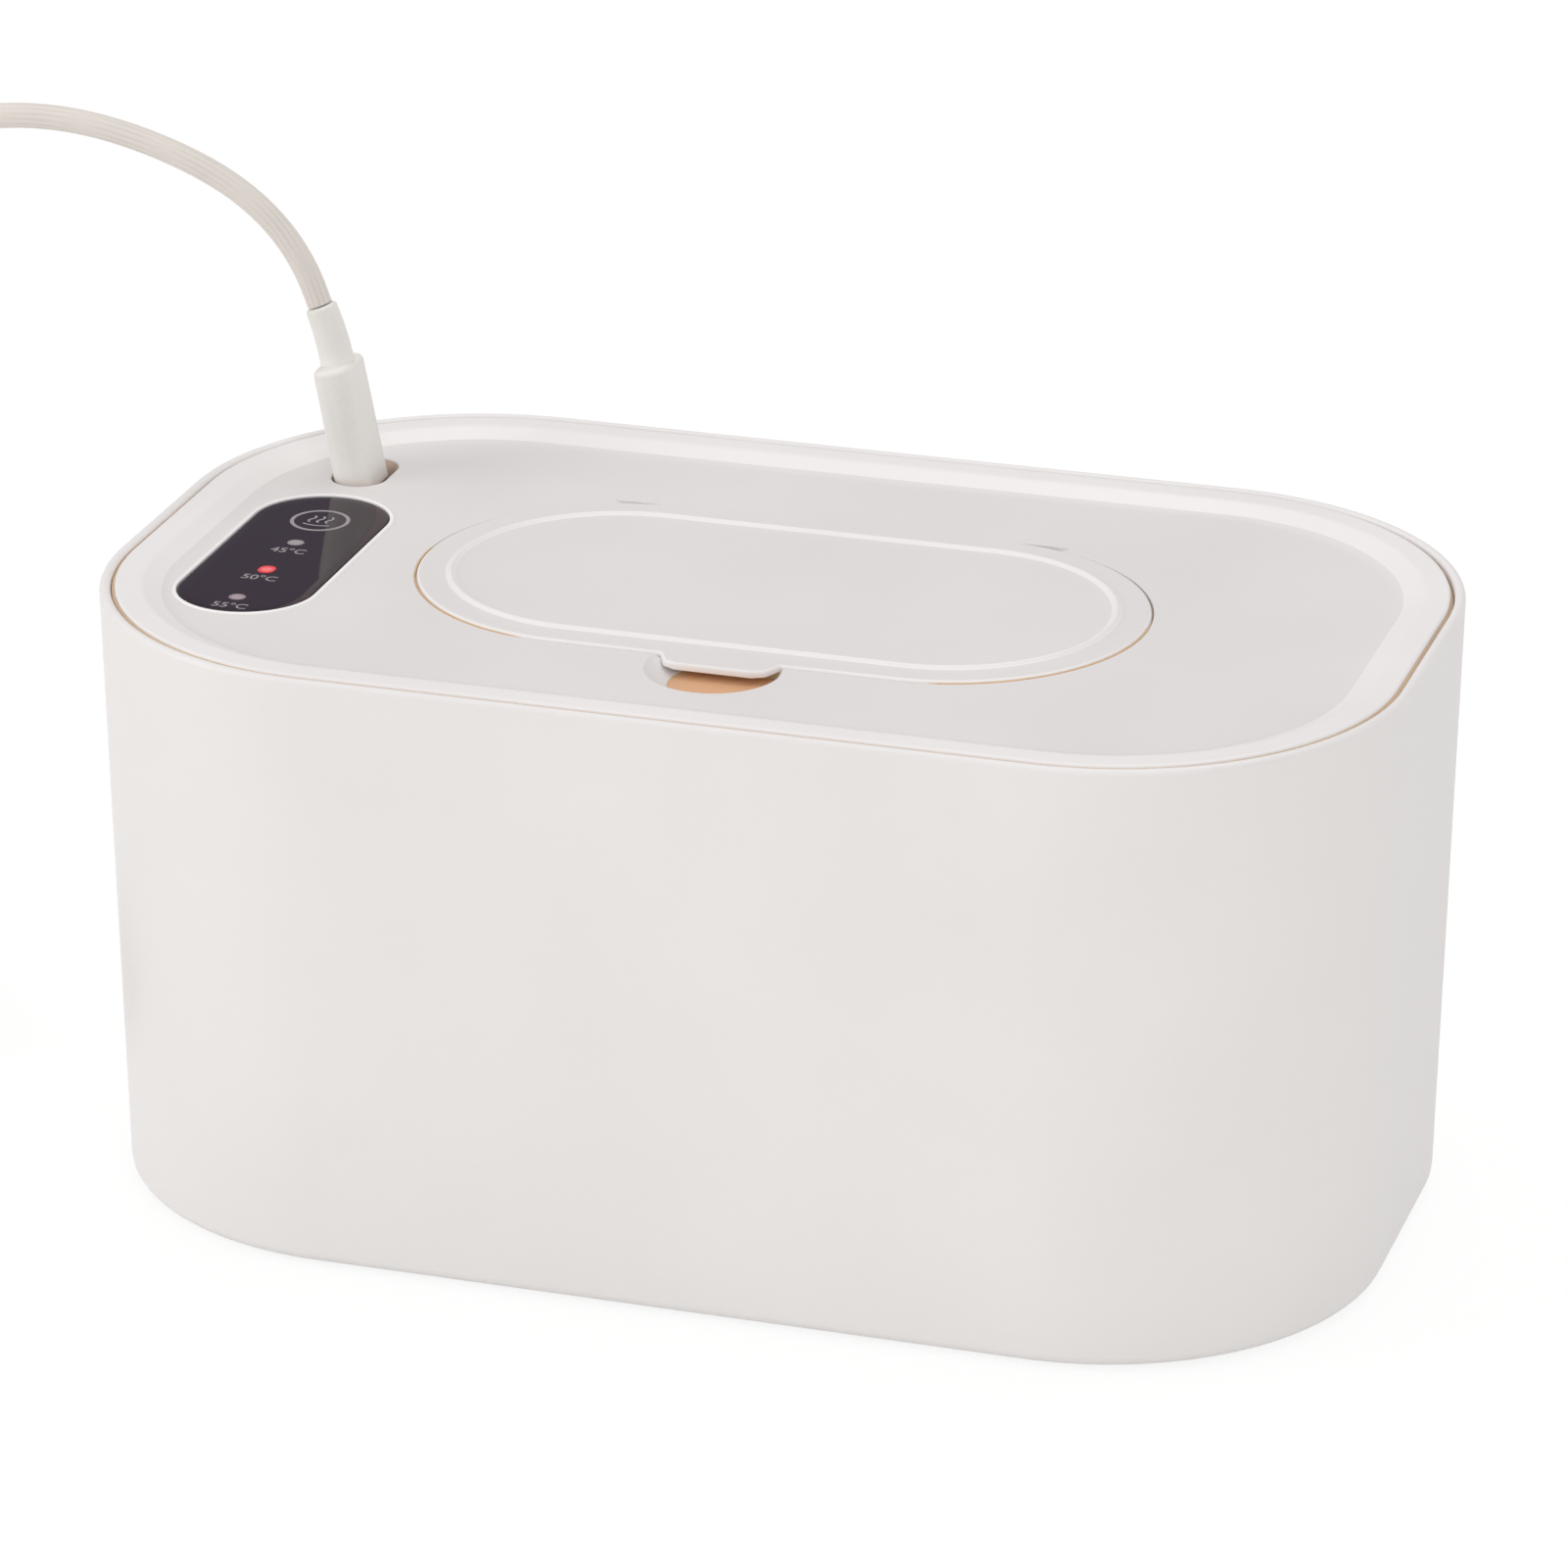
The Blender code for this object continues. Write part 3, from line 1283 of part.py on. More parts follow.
def coil_points():
    """The wound lead, from its top layer in to the middle and out again along the bottom.

    The radius falls by one pitch a turn to the middle of the winding and grows again, the drop from
    the top layer to the bottom one is in the half turn about the middle, and the whole coil rises
    where the tie passes under it.
    """
    count = coil_turns * coil_points_per_turn
    turn = np.linspace(0, coil_turns, count + 1)
    angle = pi + 2 * pi * turn
    from_middle = np.abs(turn - coil_turns / 2)
    eased = np.sqrt(from_middle**2 + coil_reverse_share**2) - coil_reverse_share
    radius = coil_inner_radius + coil_pitch * eased
    fall = np.clip((turn - coil_turns / 2) * 2 + 0.5, 0, 1)
    fall = fall * fall * (3 - 2 * fall)
    lift = (tie_strap + fit) * (1 + np.cos(angle)) / 2
    height = cord_diameter / 2 + lift + coil_pitch * (1 - fall)
    centre_x = coil_entry[0] + radius[0]
    x = centre_x + radius * np.cos(angle)
    y = coil_entry[1] + radius * np.sin(angle)
    return np.stack([x, y, height], axis=1)


def wound_path():
    """The coil with its entry from the falling lead and its tail to the far plug."""
    loops = coil_points()
    first, last = loops[0], loops[-1]
    entry = [first + np.array([0, cord_diameter * share, 0]) for share in (1.0, 0.5)]
    tail = []
    steps = 6
    for step in range(1, steps + 1):
        share = step / steps
        rise = max(0, share - tail_flat_share) / (1 - tail_flat_share)
        height = last[2] + (tail_height - last[2]) * rise * rise * (3 - 2 * rise)
        tail.append(np.array([last[0], last[1] - tail_length * share, height]))
    tail.append(tail[-1] - np.array([0, cord_diameter, 0]))
    return np.array([*entry, *loops, *tail])


def least_gap(path, skip):
    """The smallest clear space between stretches of the path that aren't neighbours along it."""
    fine = np.concatenate([path[:-1] * (1 - share) + path[1:] * share for share in (0, 0.25, 0.5, 0.75)])
    order = np.concatenate([np.arange(len(path) - 1) + share for share in (0, 0.25, 0.5, 0.75)])
    apart = np.linalg.norm(fine[:, None] - fine[None], axis=2)
    near = np.abs(order[:, None] - order[None]) < skip
    return np.min(np.where(near, np.inf, apart)) - cord_diameter


def build_plug():
    """The plug in the lid: a moulded grip, a metal tip and a short flexible boot."""
    bottom = -grip_depth
    top = grip_length - grip_depth
    soft = grip_top_round
    sections = [
        (grip_half_thickness - inset, grip_half_width - inset, grip_corner - inset, height)
        for inset, height in (
            (soft / 2, bottom),
            (0, bottom + soft / 2),
            (grip_taper, top - soft),
            (grip_taper + soft, top),
        )
    ]
    grip = placed(stack("plug_grip", sections, steps=4), plug_frame())
    paint(grip, "DDDBD6", 0.5)
    tip_top = bottom - fit
    tip_bottom = tip_top - plug_tip_length
    outer_x, outer_y = plug_tip_half_thickness, plug_tip_half_width
    tip = leaning("plug_tip", outer_x, outer_y, outer_x, tip_bottom, tip_top)
    inner_x, inner_y = outer_x - plug_tip_wall, outer_y - plug_tip_wall
    low, high = tip_bottom - overrun, tip_top - plug_tip_wall
    cut(tip, leaning("plug_tip_inside", inner_x, inner_y, inner_x, low, high, helper=True))
    paint(tip, "C9CBCC", 0.25, 1.0)
    points = smooth_path(boot_points(), boot_radius)
    radii = np.linspace(boot_radius, boot_end_radius, len(points))
    boot = tube("plug_boot", points, list(radii))
    paint(boot, "DDDBD6", 0.5)
    return grip, tip, boot


def build_cord():
    points = free_route()
    cord = tube("cord", points, [cord_diameter / 2] * len(points))
    paint(cord, "DAD6D2", 0.55)
    return cord


def build_coil():
    """The rest of the lead, wound up and held by a strap, with its far plug on the table."""
    path = wound_path()
    coil = tube("cord_coil", path, [cord_diameter / 2] * len(path), resolution=1)
    paint(coil, "DAD6D2", 0.55)
    print("least gap of the coil to itself, mm:", round(least_gap(path, coil_points_per_turn / 2) / mm, 2))
    half_width = tie_width / 2
    loops = coil_points()
    centre_x = (loops[:, 0].min() + loops[:, 0].max()) / 2
    near_tie = loops[(np.abs(loops[:, 1] - coil_entry[1]) < tie_width) & (loops[:, 0] > centre_x)]
    innermost = near_tie[:, 0].min() - cord_diameter / 2 - fit
    outermost = near_tie[:, 0].max() + cord_diameter / 2 + fit
    top = near_tie[:, 2].max() + cord_diameter / 2 + fit
    low_x = innermost - tie_strap
    high_x = outermost + tie_strap
    tie = block(
        "cord_tie",
        (low_x, coil_entry[1] - half_width, 0),
        (high_x, coil_entry[1] + half_width, top + tie_strap),
    )
    inside = block(
        "tie_inside",
        (low_x + tie_strap, coil_entry[1] - half_width - overrun, tie_strap),
        (high_x - tie_strap, coil_entry[1] + half_width + overrun, top),
        helper=True,
    )
    cut(tie, inside)
    paint(tie, "8E8B88", 0.8)
    build_far_plug(path[-1])


def build_far_plug(end):
    """The lead's other plug, lying flat: a boot and grip in one moulding, a metal shell and its tongue."""
    start_y = end[1] - fit
    grip_start = start_y - far_boot_length
    grip_end = grip_start - far_grip_length
    turn = Matrix.Rotation(pi / 2, 4, "X")
    soft = far_grip_corner / 2

    def lying(name, half_x, half_z, corner, near_y, far_y, helper=False, steps=4):
        """A slab that lies along Y, between two places behind the lead's end."""
        piece = slab(name, half_x, half_z, corner, -near_y, -far_y, steps=steps, helper=helper)
        return placed(piece, Matrix.Translation((end[0], 0, tail_height)) @ turn)

    sections = [
        (far_grip_half_width - soft, far_grip_half_thickness - soft, far_grip_corner - soft, -grip_start),
        (far_grip_half_width, far_grip_half_thickness, far_grip_corner, -grip_start + soft),
        (far_grip_half_width, far_grip_half_thickness, far_grip_corner, -grip_end),
    ]
    lying_grip = Matrix.Translation((end[0], 0, tail_height)) @ turn
    grip = placed(stack("far_plug_grip", sections, steps=4), lying_grip)
    boot_start = (end[0], start_y, tail_height)
    boot_end = (end[0], grip_start - 2 * soft, tail_height)
    join(grip, rod("far_boot", boot_start, boot_end, far_boot_radius, segments=16))
    paint(grip, "DDDBD6", 0.5)
    shell_start = grip_end - fit
    shell_end = shell_start - far_shell_length
    half_x, half_z = far_shell_half_width, far_shell_half_thickness
    shell = lying("far_plug_shell", half_x, half_z, far_shell_corner, shell_start, shell_end, steps=2)
    wall = far_shell_wall
    inside = lying(
        "far_shell_inside",
        half_x - wall,
        half_z - wall,
        far_shell_corner - wall / 2,
        shell_start - wall,
        shell_end - overrun,
        helper=True,
        steps=2,
    )
    cut(shell, inside)
    paint(shell, "C9CBCC", 0.25, 1.0)
    tongue_half_x = half_x - wall - fit
    tongue_low = tail_height - half_z + wall + fit
    tongue_high = tongue_low + 2 * far_tongue_half_thickness
    tongue = block(
        "far_plug_tongue",
        (end[0] - tongue_half_x, shell_end + fit, tongue_low),
        (end[0] + tongue_half_x, shell_start - wall - fit, tongue_high),
    )
    paint(tongue, "F2F2F0", 0.4)


tub = build_tub()
build_feet(tub)
fixed = set(parts.objects)
build_lid_shell()
build_lid_seal()
build_tray()
build_lid_screws()
build_warming_plate()
build_temperature_parts()
build_panel()
build_socket()
build_leads()
build_cap_seal()
build_mouth()
build_plug()
build_cord()
lid_pieces = set(parts.objects) - fixed
build_cap()
cap_pieces = set(parts.objects) - fixed - lid_pieces
build_coil()

lid_axis = joint_empty("lid_lift_axis", (0, 0, rib_top_z))
cap_axis = joint_empty("cap_hinge_axis", (0, hinge_y, hinge_z))
carry(lid_axis, *lid_pieces)
carry(cap_axis, *cap_pieces)
cap_axis.parent = lid_axis
cap_axis.matrix_parent_inverse = Matrix.Translation(lid_axis.location).inverted()
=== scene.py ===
"""Dresses the wipes dispenser: a white moulded tub, its lid with a flip cap, and its power lead."""

from math import cos, pi, radians, sin

import bmesh
import bpy
import numpy as np
from mathutils import Matrix, Vector


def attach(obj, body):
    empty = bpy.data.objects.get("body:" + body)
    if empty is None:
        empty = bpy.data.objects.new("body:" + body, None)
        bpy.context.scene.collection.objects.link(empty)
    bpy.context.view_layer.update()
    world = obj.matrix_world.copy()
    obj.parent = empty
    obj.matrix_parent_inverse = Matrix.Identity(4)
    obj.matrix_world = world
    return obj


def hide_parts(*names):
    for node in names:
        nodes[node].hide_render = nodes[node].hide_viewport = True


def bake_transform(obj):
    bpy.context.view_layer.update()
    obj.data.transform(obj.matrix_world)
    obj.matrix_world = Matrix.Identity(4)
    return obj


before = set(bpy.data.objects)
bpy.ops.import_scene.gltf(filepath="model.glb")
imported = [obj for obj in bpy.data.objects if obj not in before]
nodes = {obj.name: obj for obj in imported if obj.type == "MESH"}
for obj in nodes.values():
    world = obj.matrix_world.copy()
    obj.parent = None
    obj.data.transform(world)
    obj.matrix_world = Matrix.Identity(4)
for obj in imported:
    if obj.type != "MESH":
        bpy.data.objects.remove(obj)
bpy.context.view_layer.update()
mm = 0.001

# Camera, where the photograph was taken from: a long lens a little over a metre away, looking down
# on the lid from the front and the right.
azimuth, elevation, roll = radians(17.288), radians(22.199), radians(0.039)
target = Vector((0.48, -0.16, 66.77)) * mm
distance = 1173.59 * mm
backward = Vector((sin(azimuth) * cos(elevation), -cos(azimuth) * cos(elevation), sin(elevation)))
camera = bpy.data.objects.new("Camera", bpy.data.cameras.new("Camera"))
bpy.context.scene.collection.objects.link(camera)
camera.location = target + backward * distance
turn = backward.to_track_quat("Z", "Y").to_matrix() @ Matrix.Rotation(roll, 3, "Z")
camera.rotation_euler = turn.to_euler()
camera.data.lens = 165.75
camera.data.sensor_width = 36
camera.data.clip_start = 0.05
bpy.context.scene.camera = camera

# Power lead: a metre of flexible two-core wire in a braided off-white textile sleeve, 4.2 mm thick.
# It rises from the plug's boot, falls to the table, and its spare length is wound into a flat coil.
lead_diameter = 4.2 * mm
lead_rise = np.array(
    [
        (-0.09113, 0.03330, 0.12910), (-0.09260, 0.03330, 0.13303), (-0.09820, 0.03332, 0.14180),
        (-0.10628, 0.03333, 0.14835), (-0.11571, 0.03320, 0.15279), (-0.12571, 0.03303, 0.15577),
        (-0.13602, 0.03287, 0.15729), (-0.14644, 0.03264, 0.15700), (-0.15665, 0.03241, 0.15489),
        (-0.16625, 0.03219, 0.15083), (-0.17484, 0.03198, 0.14493), (-0.18228, 0.03177, 0.13763),
        (-0.18848, 0.03161, 0.12924), (-0.19346, 0.03150, 0.12007), (-0.19736, 0.03138, 0.11039),
        (-0.20037, 0.03126, 0.10040), (-0.20266, 0.03114, 0.09022), (-0.20434, 0.03107, 0.07991),
        (-0.20551, 0.03103, 0.06954), (-0.20626, 0.03099, 0.05913), (-0.20662, 0.03081, 0.04870),
        (-0.20675, 0.03032, 0.03827), (-0.20679, 0.02875, 0.02796), (-0.20676, 0.02498, 0.01825),
        (-0.20674, 0.01844, 0.01022), (-0.20670, 0.00870, 0.00695), (-0.20670, 0.00450, 0.00695),
    ]
)


def smooth_curve(route, spacing):
    """Even steps along the natural cubic curve through a route.

    Between two knots the curve is each end's bend times the cube of the distance to the other end,
    plus a straight part; the bends solve one row each of a tridiagonal system.
    """
    knots = np.concatenate([[0], np.cumsum(np.linalg.norm(np.diff(route, axis=0), axis=1))])
    gaps = np.diff(knots)
    system = np.eye(len(route))
    inner = np.arange(1, len(route) - 1)
    system[inner, inner - 1] = gaps[:-1]
    system[inner, inner] = 2 * (gaps[:-1] + gaps[1:])
    system[inner, inner + 1] = gaps[1:]
    bends = np.zeros_like(route)
    bends[1:-1] = 6 * np.diff(np.diff(route, axis=0) / gaps[:, None], axis=0)
    bends = np.linalg.solve(system, bends)
    along = np.linspace(0, knots[-1], 60 * len(route))
    i = np.clip(np.searchsorted(knots, along) - 1, 0, len(gaps) - 1)
    before, after = (along - knots[i])[:, None], (knots[i + 1] - along)[:, None]
    gap = gaps[i][:, None]
    fine = (bends[i] * after**3 + bends[i + 1] * before**3) / (6 * gap)
    fine += (route[i] / gap - bends[i] * gap / 6) * after
    fine += (route[i + 1] / gap - bends[i + 1] * gap / 6) * before
    lengths = np.concatenate([[0], np.cumsum(np.linalg.norm(np.diff(fine, axis=0), axis=1))])
    even = np.linspace(0, lengths[-1], int(lengths[-1] / spacing) + 2)
    return np.stack([np.interp(even, lengths, fine[:, axis]) for axis in range(3)], axis=1)


def eased(share):
    """A share kept between 0 and 1, with soft ends: three times its square less twice its cube."""
    share = np.clip(share, 0, 1)
    return share * share * (3 - 2 * share)


# The coil's radius falls by one pitch a turn to the middle of the winding and grows again, while
# its height drops from the upper layer to the lower one in the half turn about the middle.
coil_turns, steps_a_turn, coil_pitch = 5, 60, 4.85 * mm
innermost, turn_back, sway = 17.2 * mm, 0.12, 0.45 * mm
turns = np.linspace(0, coil_turns, coil_turns * steps_a_turn + 1)
coil_angle = pi + 2 * pi * turns
from_middle = turns - coil_turns / 2
coil_radius = innermost + coil_pitch * (np.sqrt(from_middle**2 + turn_back**2) - turn_back)
upper = 1 - eased(2 * from_middle + 0.5)
coil_height = lead_diameter / 2 + sway * (1 + np.cos(coil_angle)) + coil_pitch * upper
coil_x = lead_rise[-1, 0] + coil_radius[0] + coil_radius * np.cos(coil_angle)
coil = np.stack([coil_x, coil_radius * np.sin(coil_angle), coil_height], axis=1)

# From the coil the lead runs forward and settles at the height of the far plug's middle.
tail_length, far_plug_height, settles_from = 24 * mm, 4.0 * mm, 0.35
share = np.linspace(0, 1, 25)[1:]
settled = eased((share - settles_from) / (1 - settles_from))
tail_height = coil[-1, 2] + (far_plug_height - coil[-1, 2]) * settled
tail = np.stack([np.full_like(share, coil[-1, 0]), -tail_length * share, tail_height], axis=1)
tail_end = tail[-1] - np.array([0, lead_diameter, 0])
lead_path = np.concatenate([smooth_curve(lead_rise, 2 * mm), coil, tail, tail_end[None]])


def ring_faces(rows, columns, closed=False):
    """Faces over a grid whose columns close into rings.

    A face joins a point, the next one round, and the same two on the next row. The end rings are
    filled with one face each, or the last row joins the first one.
    """
    upward, onward = np.arange(rows if closed else rows - 1), np.arange(columns)
    row, column = np.meshgrid(upward, onward, indexing="ij")
    low, high, after = row * columns, (row + 1) % rows * columns, (column + 1) % columns
    corners = [low + column, low + after, high + after, high + column]
    faces = np.stack(corners, axis=-1).reshape(-1, 4).tolist()
    if not closed:
        faces.append(list(range(columns))[::-1])
        faces.append(list(range((rows - 1) * columns, rows * columns)))
    return faces


sharp_edge, same_place = radians(32), 1e-7


def new_piece(name, points, faces, finish=None):
    """An object from points and faces, doubled points merged, shaded smooth up to sharp edges."""
    mesh = bpy.data.meshes.new(name)
    mesh.from_pydata(np.asarray(points).reshape(-1, 3).tolist(), [], faces)
    shape = bmesh.new()
    shape.from_mesh(mesh)
    bmesh.ops.remove_doubles(shape, verts=shape.verts, dist=same_place)
    shape.to_mesh(mesh)
    shape.free()
    mesh.shade_smooth()
    mesh.set_sharp_from_angle(angle=sharp_edge)
    piece = bpy.data.objects.new(name, mesh)
    bpy.context.scene.collection.objects.link(piece)
    if finish:
        mesh.materials.append(finish)
    return piece


def tube_points(path, radii, columns):
    """Rings of points round a path: the path plus the radius along two directions square to it.

    The first direction is the path's own crossed with Y, plus Z crossed with the path's own: it is
    square to the path, and turns smoothly from the hanging part to the flat coil.
    """
    ahead = np.gradient(path, axis=0)
    ahead /= np.linalg.norm(ahead, axis=1)[:, None]
    across = np.stack([-ahead[:, 2] - ahead[:, 1], ahead[:, 0], ahead[:, 0]], axis=1)
    across /= np.linalg.norm(across, axis=1)[:, None]
    other = np.cross(ahead, across)
    angle = np.linspace(0, 2 * pi, columns, endpoint=False)[None, :, None]
    spokes = np.cos(angle) * across[:, None] + np.sin(angle) * other[:, None]
    return path[:, None] + radii[:, None, None] * spokes


def map_round(piece, columns, along):
    """A UV map on a tube: U runs once round it, V is the length along it in metres."""
    mesh = piece.data
    uv = mesh.uv_layers.new(name="Round")
    corner = np.zeros(len(mesh.loops), int)
    mesh.loops.foreach_get("vertex_index", corner)
    row, column = np.divmod(corner, columns)
    starts, totals = np.zeros((2, len(mesh.polygons)), int)
    mesh.polygons.foreach_get("loop_total", totals)
    face = np.repeat(np.arange(len(starts)), totals)
    last = np.zeros(len(starts), bool)
    np.logical_or.at(last, face, column == columns - 1)
    u = np.where(last[face] & (column == 0), columns, column) / columns
    uv.data.foreach_set("uv", np.stack([u, along[row]], axis=1).astype(np.float32).ravel())


def linear(hex_colour):
    """A linear colour from an sRGB hex value."""
    channels = np.array([int(hex_colour[i : i + 2], 16) for i in (0, 2, 4)]) / 255
    light = np.where(channels > 0.04045, ((channels + 0.055) / 1.055) ** 2.4, channels / 12.92)
    return (*light.tolist(), 1.0)


def add_node(tree, kind, settings=None, links=None):
    """Adds a node, sets its properties or input values, and links other nodes' outputs to it."""
    node = tree.nodes.new(kind)
    for key, value in (settings or {}).items():
        if isinstance(key, str) and hasattr(node, key):
            setattr(node, key, value)
        else:
            node.inputs[key].default_value = value
    for key, output in (links or {}).items():
        tree.links.new(output, node.inputs[key])
    return node


def new_finish(name, colour, roughness, **constants):
    """A material whose shader has its constants set; its tree and shader come back for patterns."""
    finish = bpy.data.materials.new(name)
    finish.use_nodes = True
    tree = finish.node_tree
    shader = tree.nodes["Principled BSDF"]
    shader.inputs["Base Color"].default_value = linear(colour)
    shader.inputs["Roughness"].default_value = roughness
    for key, value in constants.items():
        shader.inputs[key.replace("_", " ")].default_value = value
    return finish, tree, shader


def join_shader(tree, shader, **outputs):
    """Links outputs of other nodes to the shader's inputs of the given names."""
    for key, output in outputs.items():
        tree.links.new(output, shader.inputs[key.replace("_", " ")])


# Braided polyester sleeve: fine strands laid steeply along the lead, so it looks matt and smooth,
# with faint long streaks and a soft sheen. The strands are drawn coarser than the real ones.
sleeve, tree, shader = new_finish(
    "braided_polyester", "DAD6D1", 0.7, Sheen_Weight=0.2, Sheen_Roughness=0.5
)
strand_count, strand_spacing, fibre_size = 14.0, 30.0 * mm, 1.6 * mm
place = add_node(tree, "ShaderNodeUVMap", {"uv_map": "Round"})
split = add_node(tree, "ShaderNodeSeparateXYZ", {}, {0: place.outputs[0]})
turned = []
for axis, rate in enumerate((strand_count, 1 / strand_spacing)):
    settings = {"operation": "MULTIPLY", 1: 2 * pi * rate}
    turned.append(add_node(tree, "ShaderNodeMath", settings, {0: split.outputs[axis]}).outputs[0])
waves = []
for operation in ("ADD", "SUBTRACT"):
    phase = add_node(tree, "ShaderNodeMath", {"operation": operation}, dict(enumerate(turned)))
    wave = add_node(tree, "ShaderNodeMath", {"operation": "SINE"}, {0: phase.outputs[0]})
    waves.append(wave.outputs[0])
braid = add_node(tree, "ShaderNodeMath", {"operation": "MAXIMUM"}, dict(enumerate(waves)))
on_object = {"Vector": add_node(tree, "ShaderNodeTexCoord").outputs["Object"]}
fibre = add_node(tree, "ShaderNodeTexNoise", {"Scale": 1 / fibre_size, "Detail": 4.0}, on_object)
links = {0: fibre.outputs[0], 2: braid.outputs[0]}
height = add_node(tree, "ShaderNodeMath", {"operation": "MULTIPLY_ADD", 1: 0.8}, links)
tone = add_node(
    tree, "ShaderNodeMapRange", {"From Min": -0.4, "From Max": 1.5}, {"Value": height.outputs[0]}
)
settings = {"data_type": "RGBA", 6: linear("D9D2CB"), 7: linear("E3DDD6")}
colour = add_node(tree, "ShaderNodeMix", settings, {0: tone.outputs[0]})
bump = add_node(
    tree, "ShaderNodeBump", {"Strength": 0.15, "Distance": 0.03 * mm}, {"Height": height.outputs[0]}
)
join_shader(tree, shader, Base_Color=colour.outputs[2], Normal=bump.outputs[0])

lead_columns = 24
lead_along = np.concatenate([[0], np.cumsum(np.linalg.norm(np.diff(lead_path, axis=0), axis=1))])
lead_radii = np.full(len(lead_path), lead_diameter / 2)
lead_points = tube_points(lead_path, lead_radii, lead_columns)
lead = new_piece("braided_lead", lead_points, ring_faces(len(lead_path), lead_columns), sleeve)
map_round(lead, lead_columns, lead_along)
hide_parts("cord", "cord_coil")
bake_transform(lead)

# Tub: one injection moulding in a warm white satin plastic. The wall leans in by 2 mm towards the
# foot for the mould, is 1.8 mm thick, and eight upright ribs inside carry the lid's skirt.
rim = half_length, half_width, rim_corner = 107.5 * mm, 65 * mm, 48.6 * mm
rim_z, base_z, floor_z = 102 * mm, 0.8 * mm, 3.4 * mm
lean, wall = 2.0 * mm, 1.8 * mm


def softened(corners, steps=5):
    """A profile whose corners, each (offset inwards, height, radius), are rounded by arcs.

    The arc touches both straight runs; its centre lies on the corner's bisector, the radius over
    the sine of half the corner's angle away. A radius of zero keeps the corner sharp.
    """
    rows = []
    for i, (offset, height, radius) in enumerate(corners):
        point = np.array([offset, height])
        if radius == 0 or i in (0, len(corners) - 1):
            rows.append(point[None])
            continue
        back = np.array(corners[i - 1][:2]) - point
        on = np.array(corners[i + 1][:2]) - point
        back, on = back / np.linalg.norm(back), on / np.linalg.norm(on)
        half = np.arccos(np.clip(back @ on, -1, 1)) / 2
        centre = point + (back + on) / np.linalg.norm(back + on) * radius / np.sin(half)
        first = point + back * radius / np.tan(half) - centre
        last = point + on * radius / np.tan(half) - centre
        sweep = pi - 2 * half
        part = np.linspace(0, 1, steps + 1)[:, None]
        arc = np.sin((1 - part) * sweep) * first + np.sin(part * sweep) * last
        rows.append(centre + arc / np.sin(sweep))
    return np.concatenate(rows)


def outline_rings(half_x, half_y, corner, profile, steps=24):
    """Rounded outlines, one for each (offset inwards, height) of a profile, counterclockwise.

    A point is the middle of its corner's arc plus the corner radius, less the offset, turned by the
    angle, so the outlines run parallel to each other.
    """
    quarter, step = np.divmod(np.arange(4 * (steps + 1)), steps + 1)
    angle = pi / 2 * (quarter + step / steps)
    side_x, side_y = np.array([1, -1, -1, 1])[quarter], np.array([1, 1, -1, -1])[quarter]
    radius = (corner - profile[:, 0])[:, None]
    x = side_x * (half_x - corner) + radius * np.cos(angle)
    y = side_y * (half_y - corner) + radius * np.sin(angle)
    return np.stack([x, y, np.broadcast_to(profile[:, 1][:, None], x.shape)], axis=-1)


def ringed(
    name, half_x, half_y, corner, corners, finish=None, closed=False, steps=24, place=(0, 0)
):
    """A softened profile carried round a rounded outline, then moved into place."""
    points = outline_rings(half_x, half_y, corner, softened(corners), steps)
    points = points + np.array([*place, 0.0])
    return new_piece(name, points, ring_faces(*points.shape[:2], closed=closed), finish)


def settle(piece):
    """Applies the piece's cuts and joins, then shades it smooth up to sharp edges."""
    graph = bpy.context.evaluated_depsgraph_get()
    mesh = bpy.data.meshes.new_from_object(piece.evaluated_get(graph))
    tools = [modifier.object for modifier in piece.modifiers]
    piece.modifiers.clear()
    piece.data = mesh
    mesh.name = piece.name
    for tool in tools:
        bpy.data.objects.remove(tool, do_unlink=True)
    mesh.shade_smooth()
    mesh.set_sharp_from_angle(angle=sharp_edge)
    even = piece.modifiers.new("Even shading", "WEIGHTED_NORMAL")
    even.keep_sharp = True


def combine(piece, operation, *others):
    """Adds exact cuts or joins with other closed shapes, in order."""
    for other in others:
        modifier = piece.modifiers.new(other.name, "BOOLEAN")
        modifier.operation = operation
        modifier.object = other
    return piece


def moulded(name, light, shade, roughness, grain, depth, **constants):
    """A moulded plastic: a fine spark-eroded grain, drifting slightly in tone and gloss.

    The real grain is finer than a pixel, so it is drawn at the size given, which just shows.
    """
    finish, tree, shader = new_finish(name, light, roughness, **constants)
    patch = 45 * mm
    on_object = {"Vector": add_node(tree, "ShaderNodeTexCoord").outputs["Object"]}
    drift = add_node(tree, "ShaderNodeTexNoise", {"Scale": 1 / patch, "Detail": 2.0}, on_object)
    fine = add_node(tree, "ShaderNodeTexNoise", {"Scale": 1 / grain, "Detail": 3.0}, on_object)
    links = {0: fine.outputs[0], 2: drift.outputs[0]}
    tone = add_node(tree, "ShaderNodeMath", {"operation": "MULTIPLY_ADD", 1: 0.25}, links)
    ramp = add_node(
        tree, "ShaderNodeMapRange", {"From Min": 0.35, "From Max": 0.9}, {"Value": tone.outputs[0]}
    )
    settings = {"data_type": "RGBA", 6: linear(shade), 7: linear(light)}
    colour = add_node(tree, "ShaderNodeMix", settings, {0: ramp.outputs[0]})
    gloss = add_node(
        tree,
        "ShaderNodeMapRange",
        {"From Min": 0.3, "From Max": 0.7, "To Min": roughness - 0.04, "To Max": roughness + 0.05},
        {"Value": drift.outputs[0]},
    )
    bump = add_node(
        tree, "ShaderNodeBump", {"Strength": 0.2, "Distance": depth}, {"Height": fine.outputs[0]}
    )
    outputs = {"Base_Color": colour.outputs[2], "Roughness": gloss.outputs[0]}
    join_shader(tree, shader, **outputs, Normal=bump.outputs[0])
    return finish


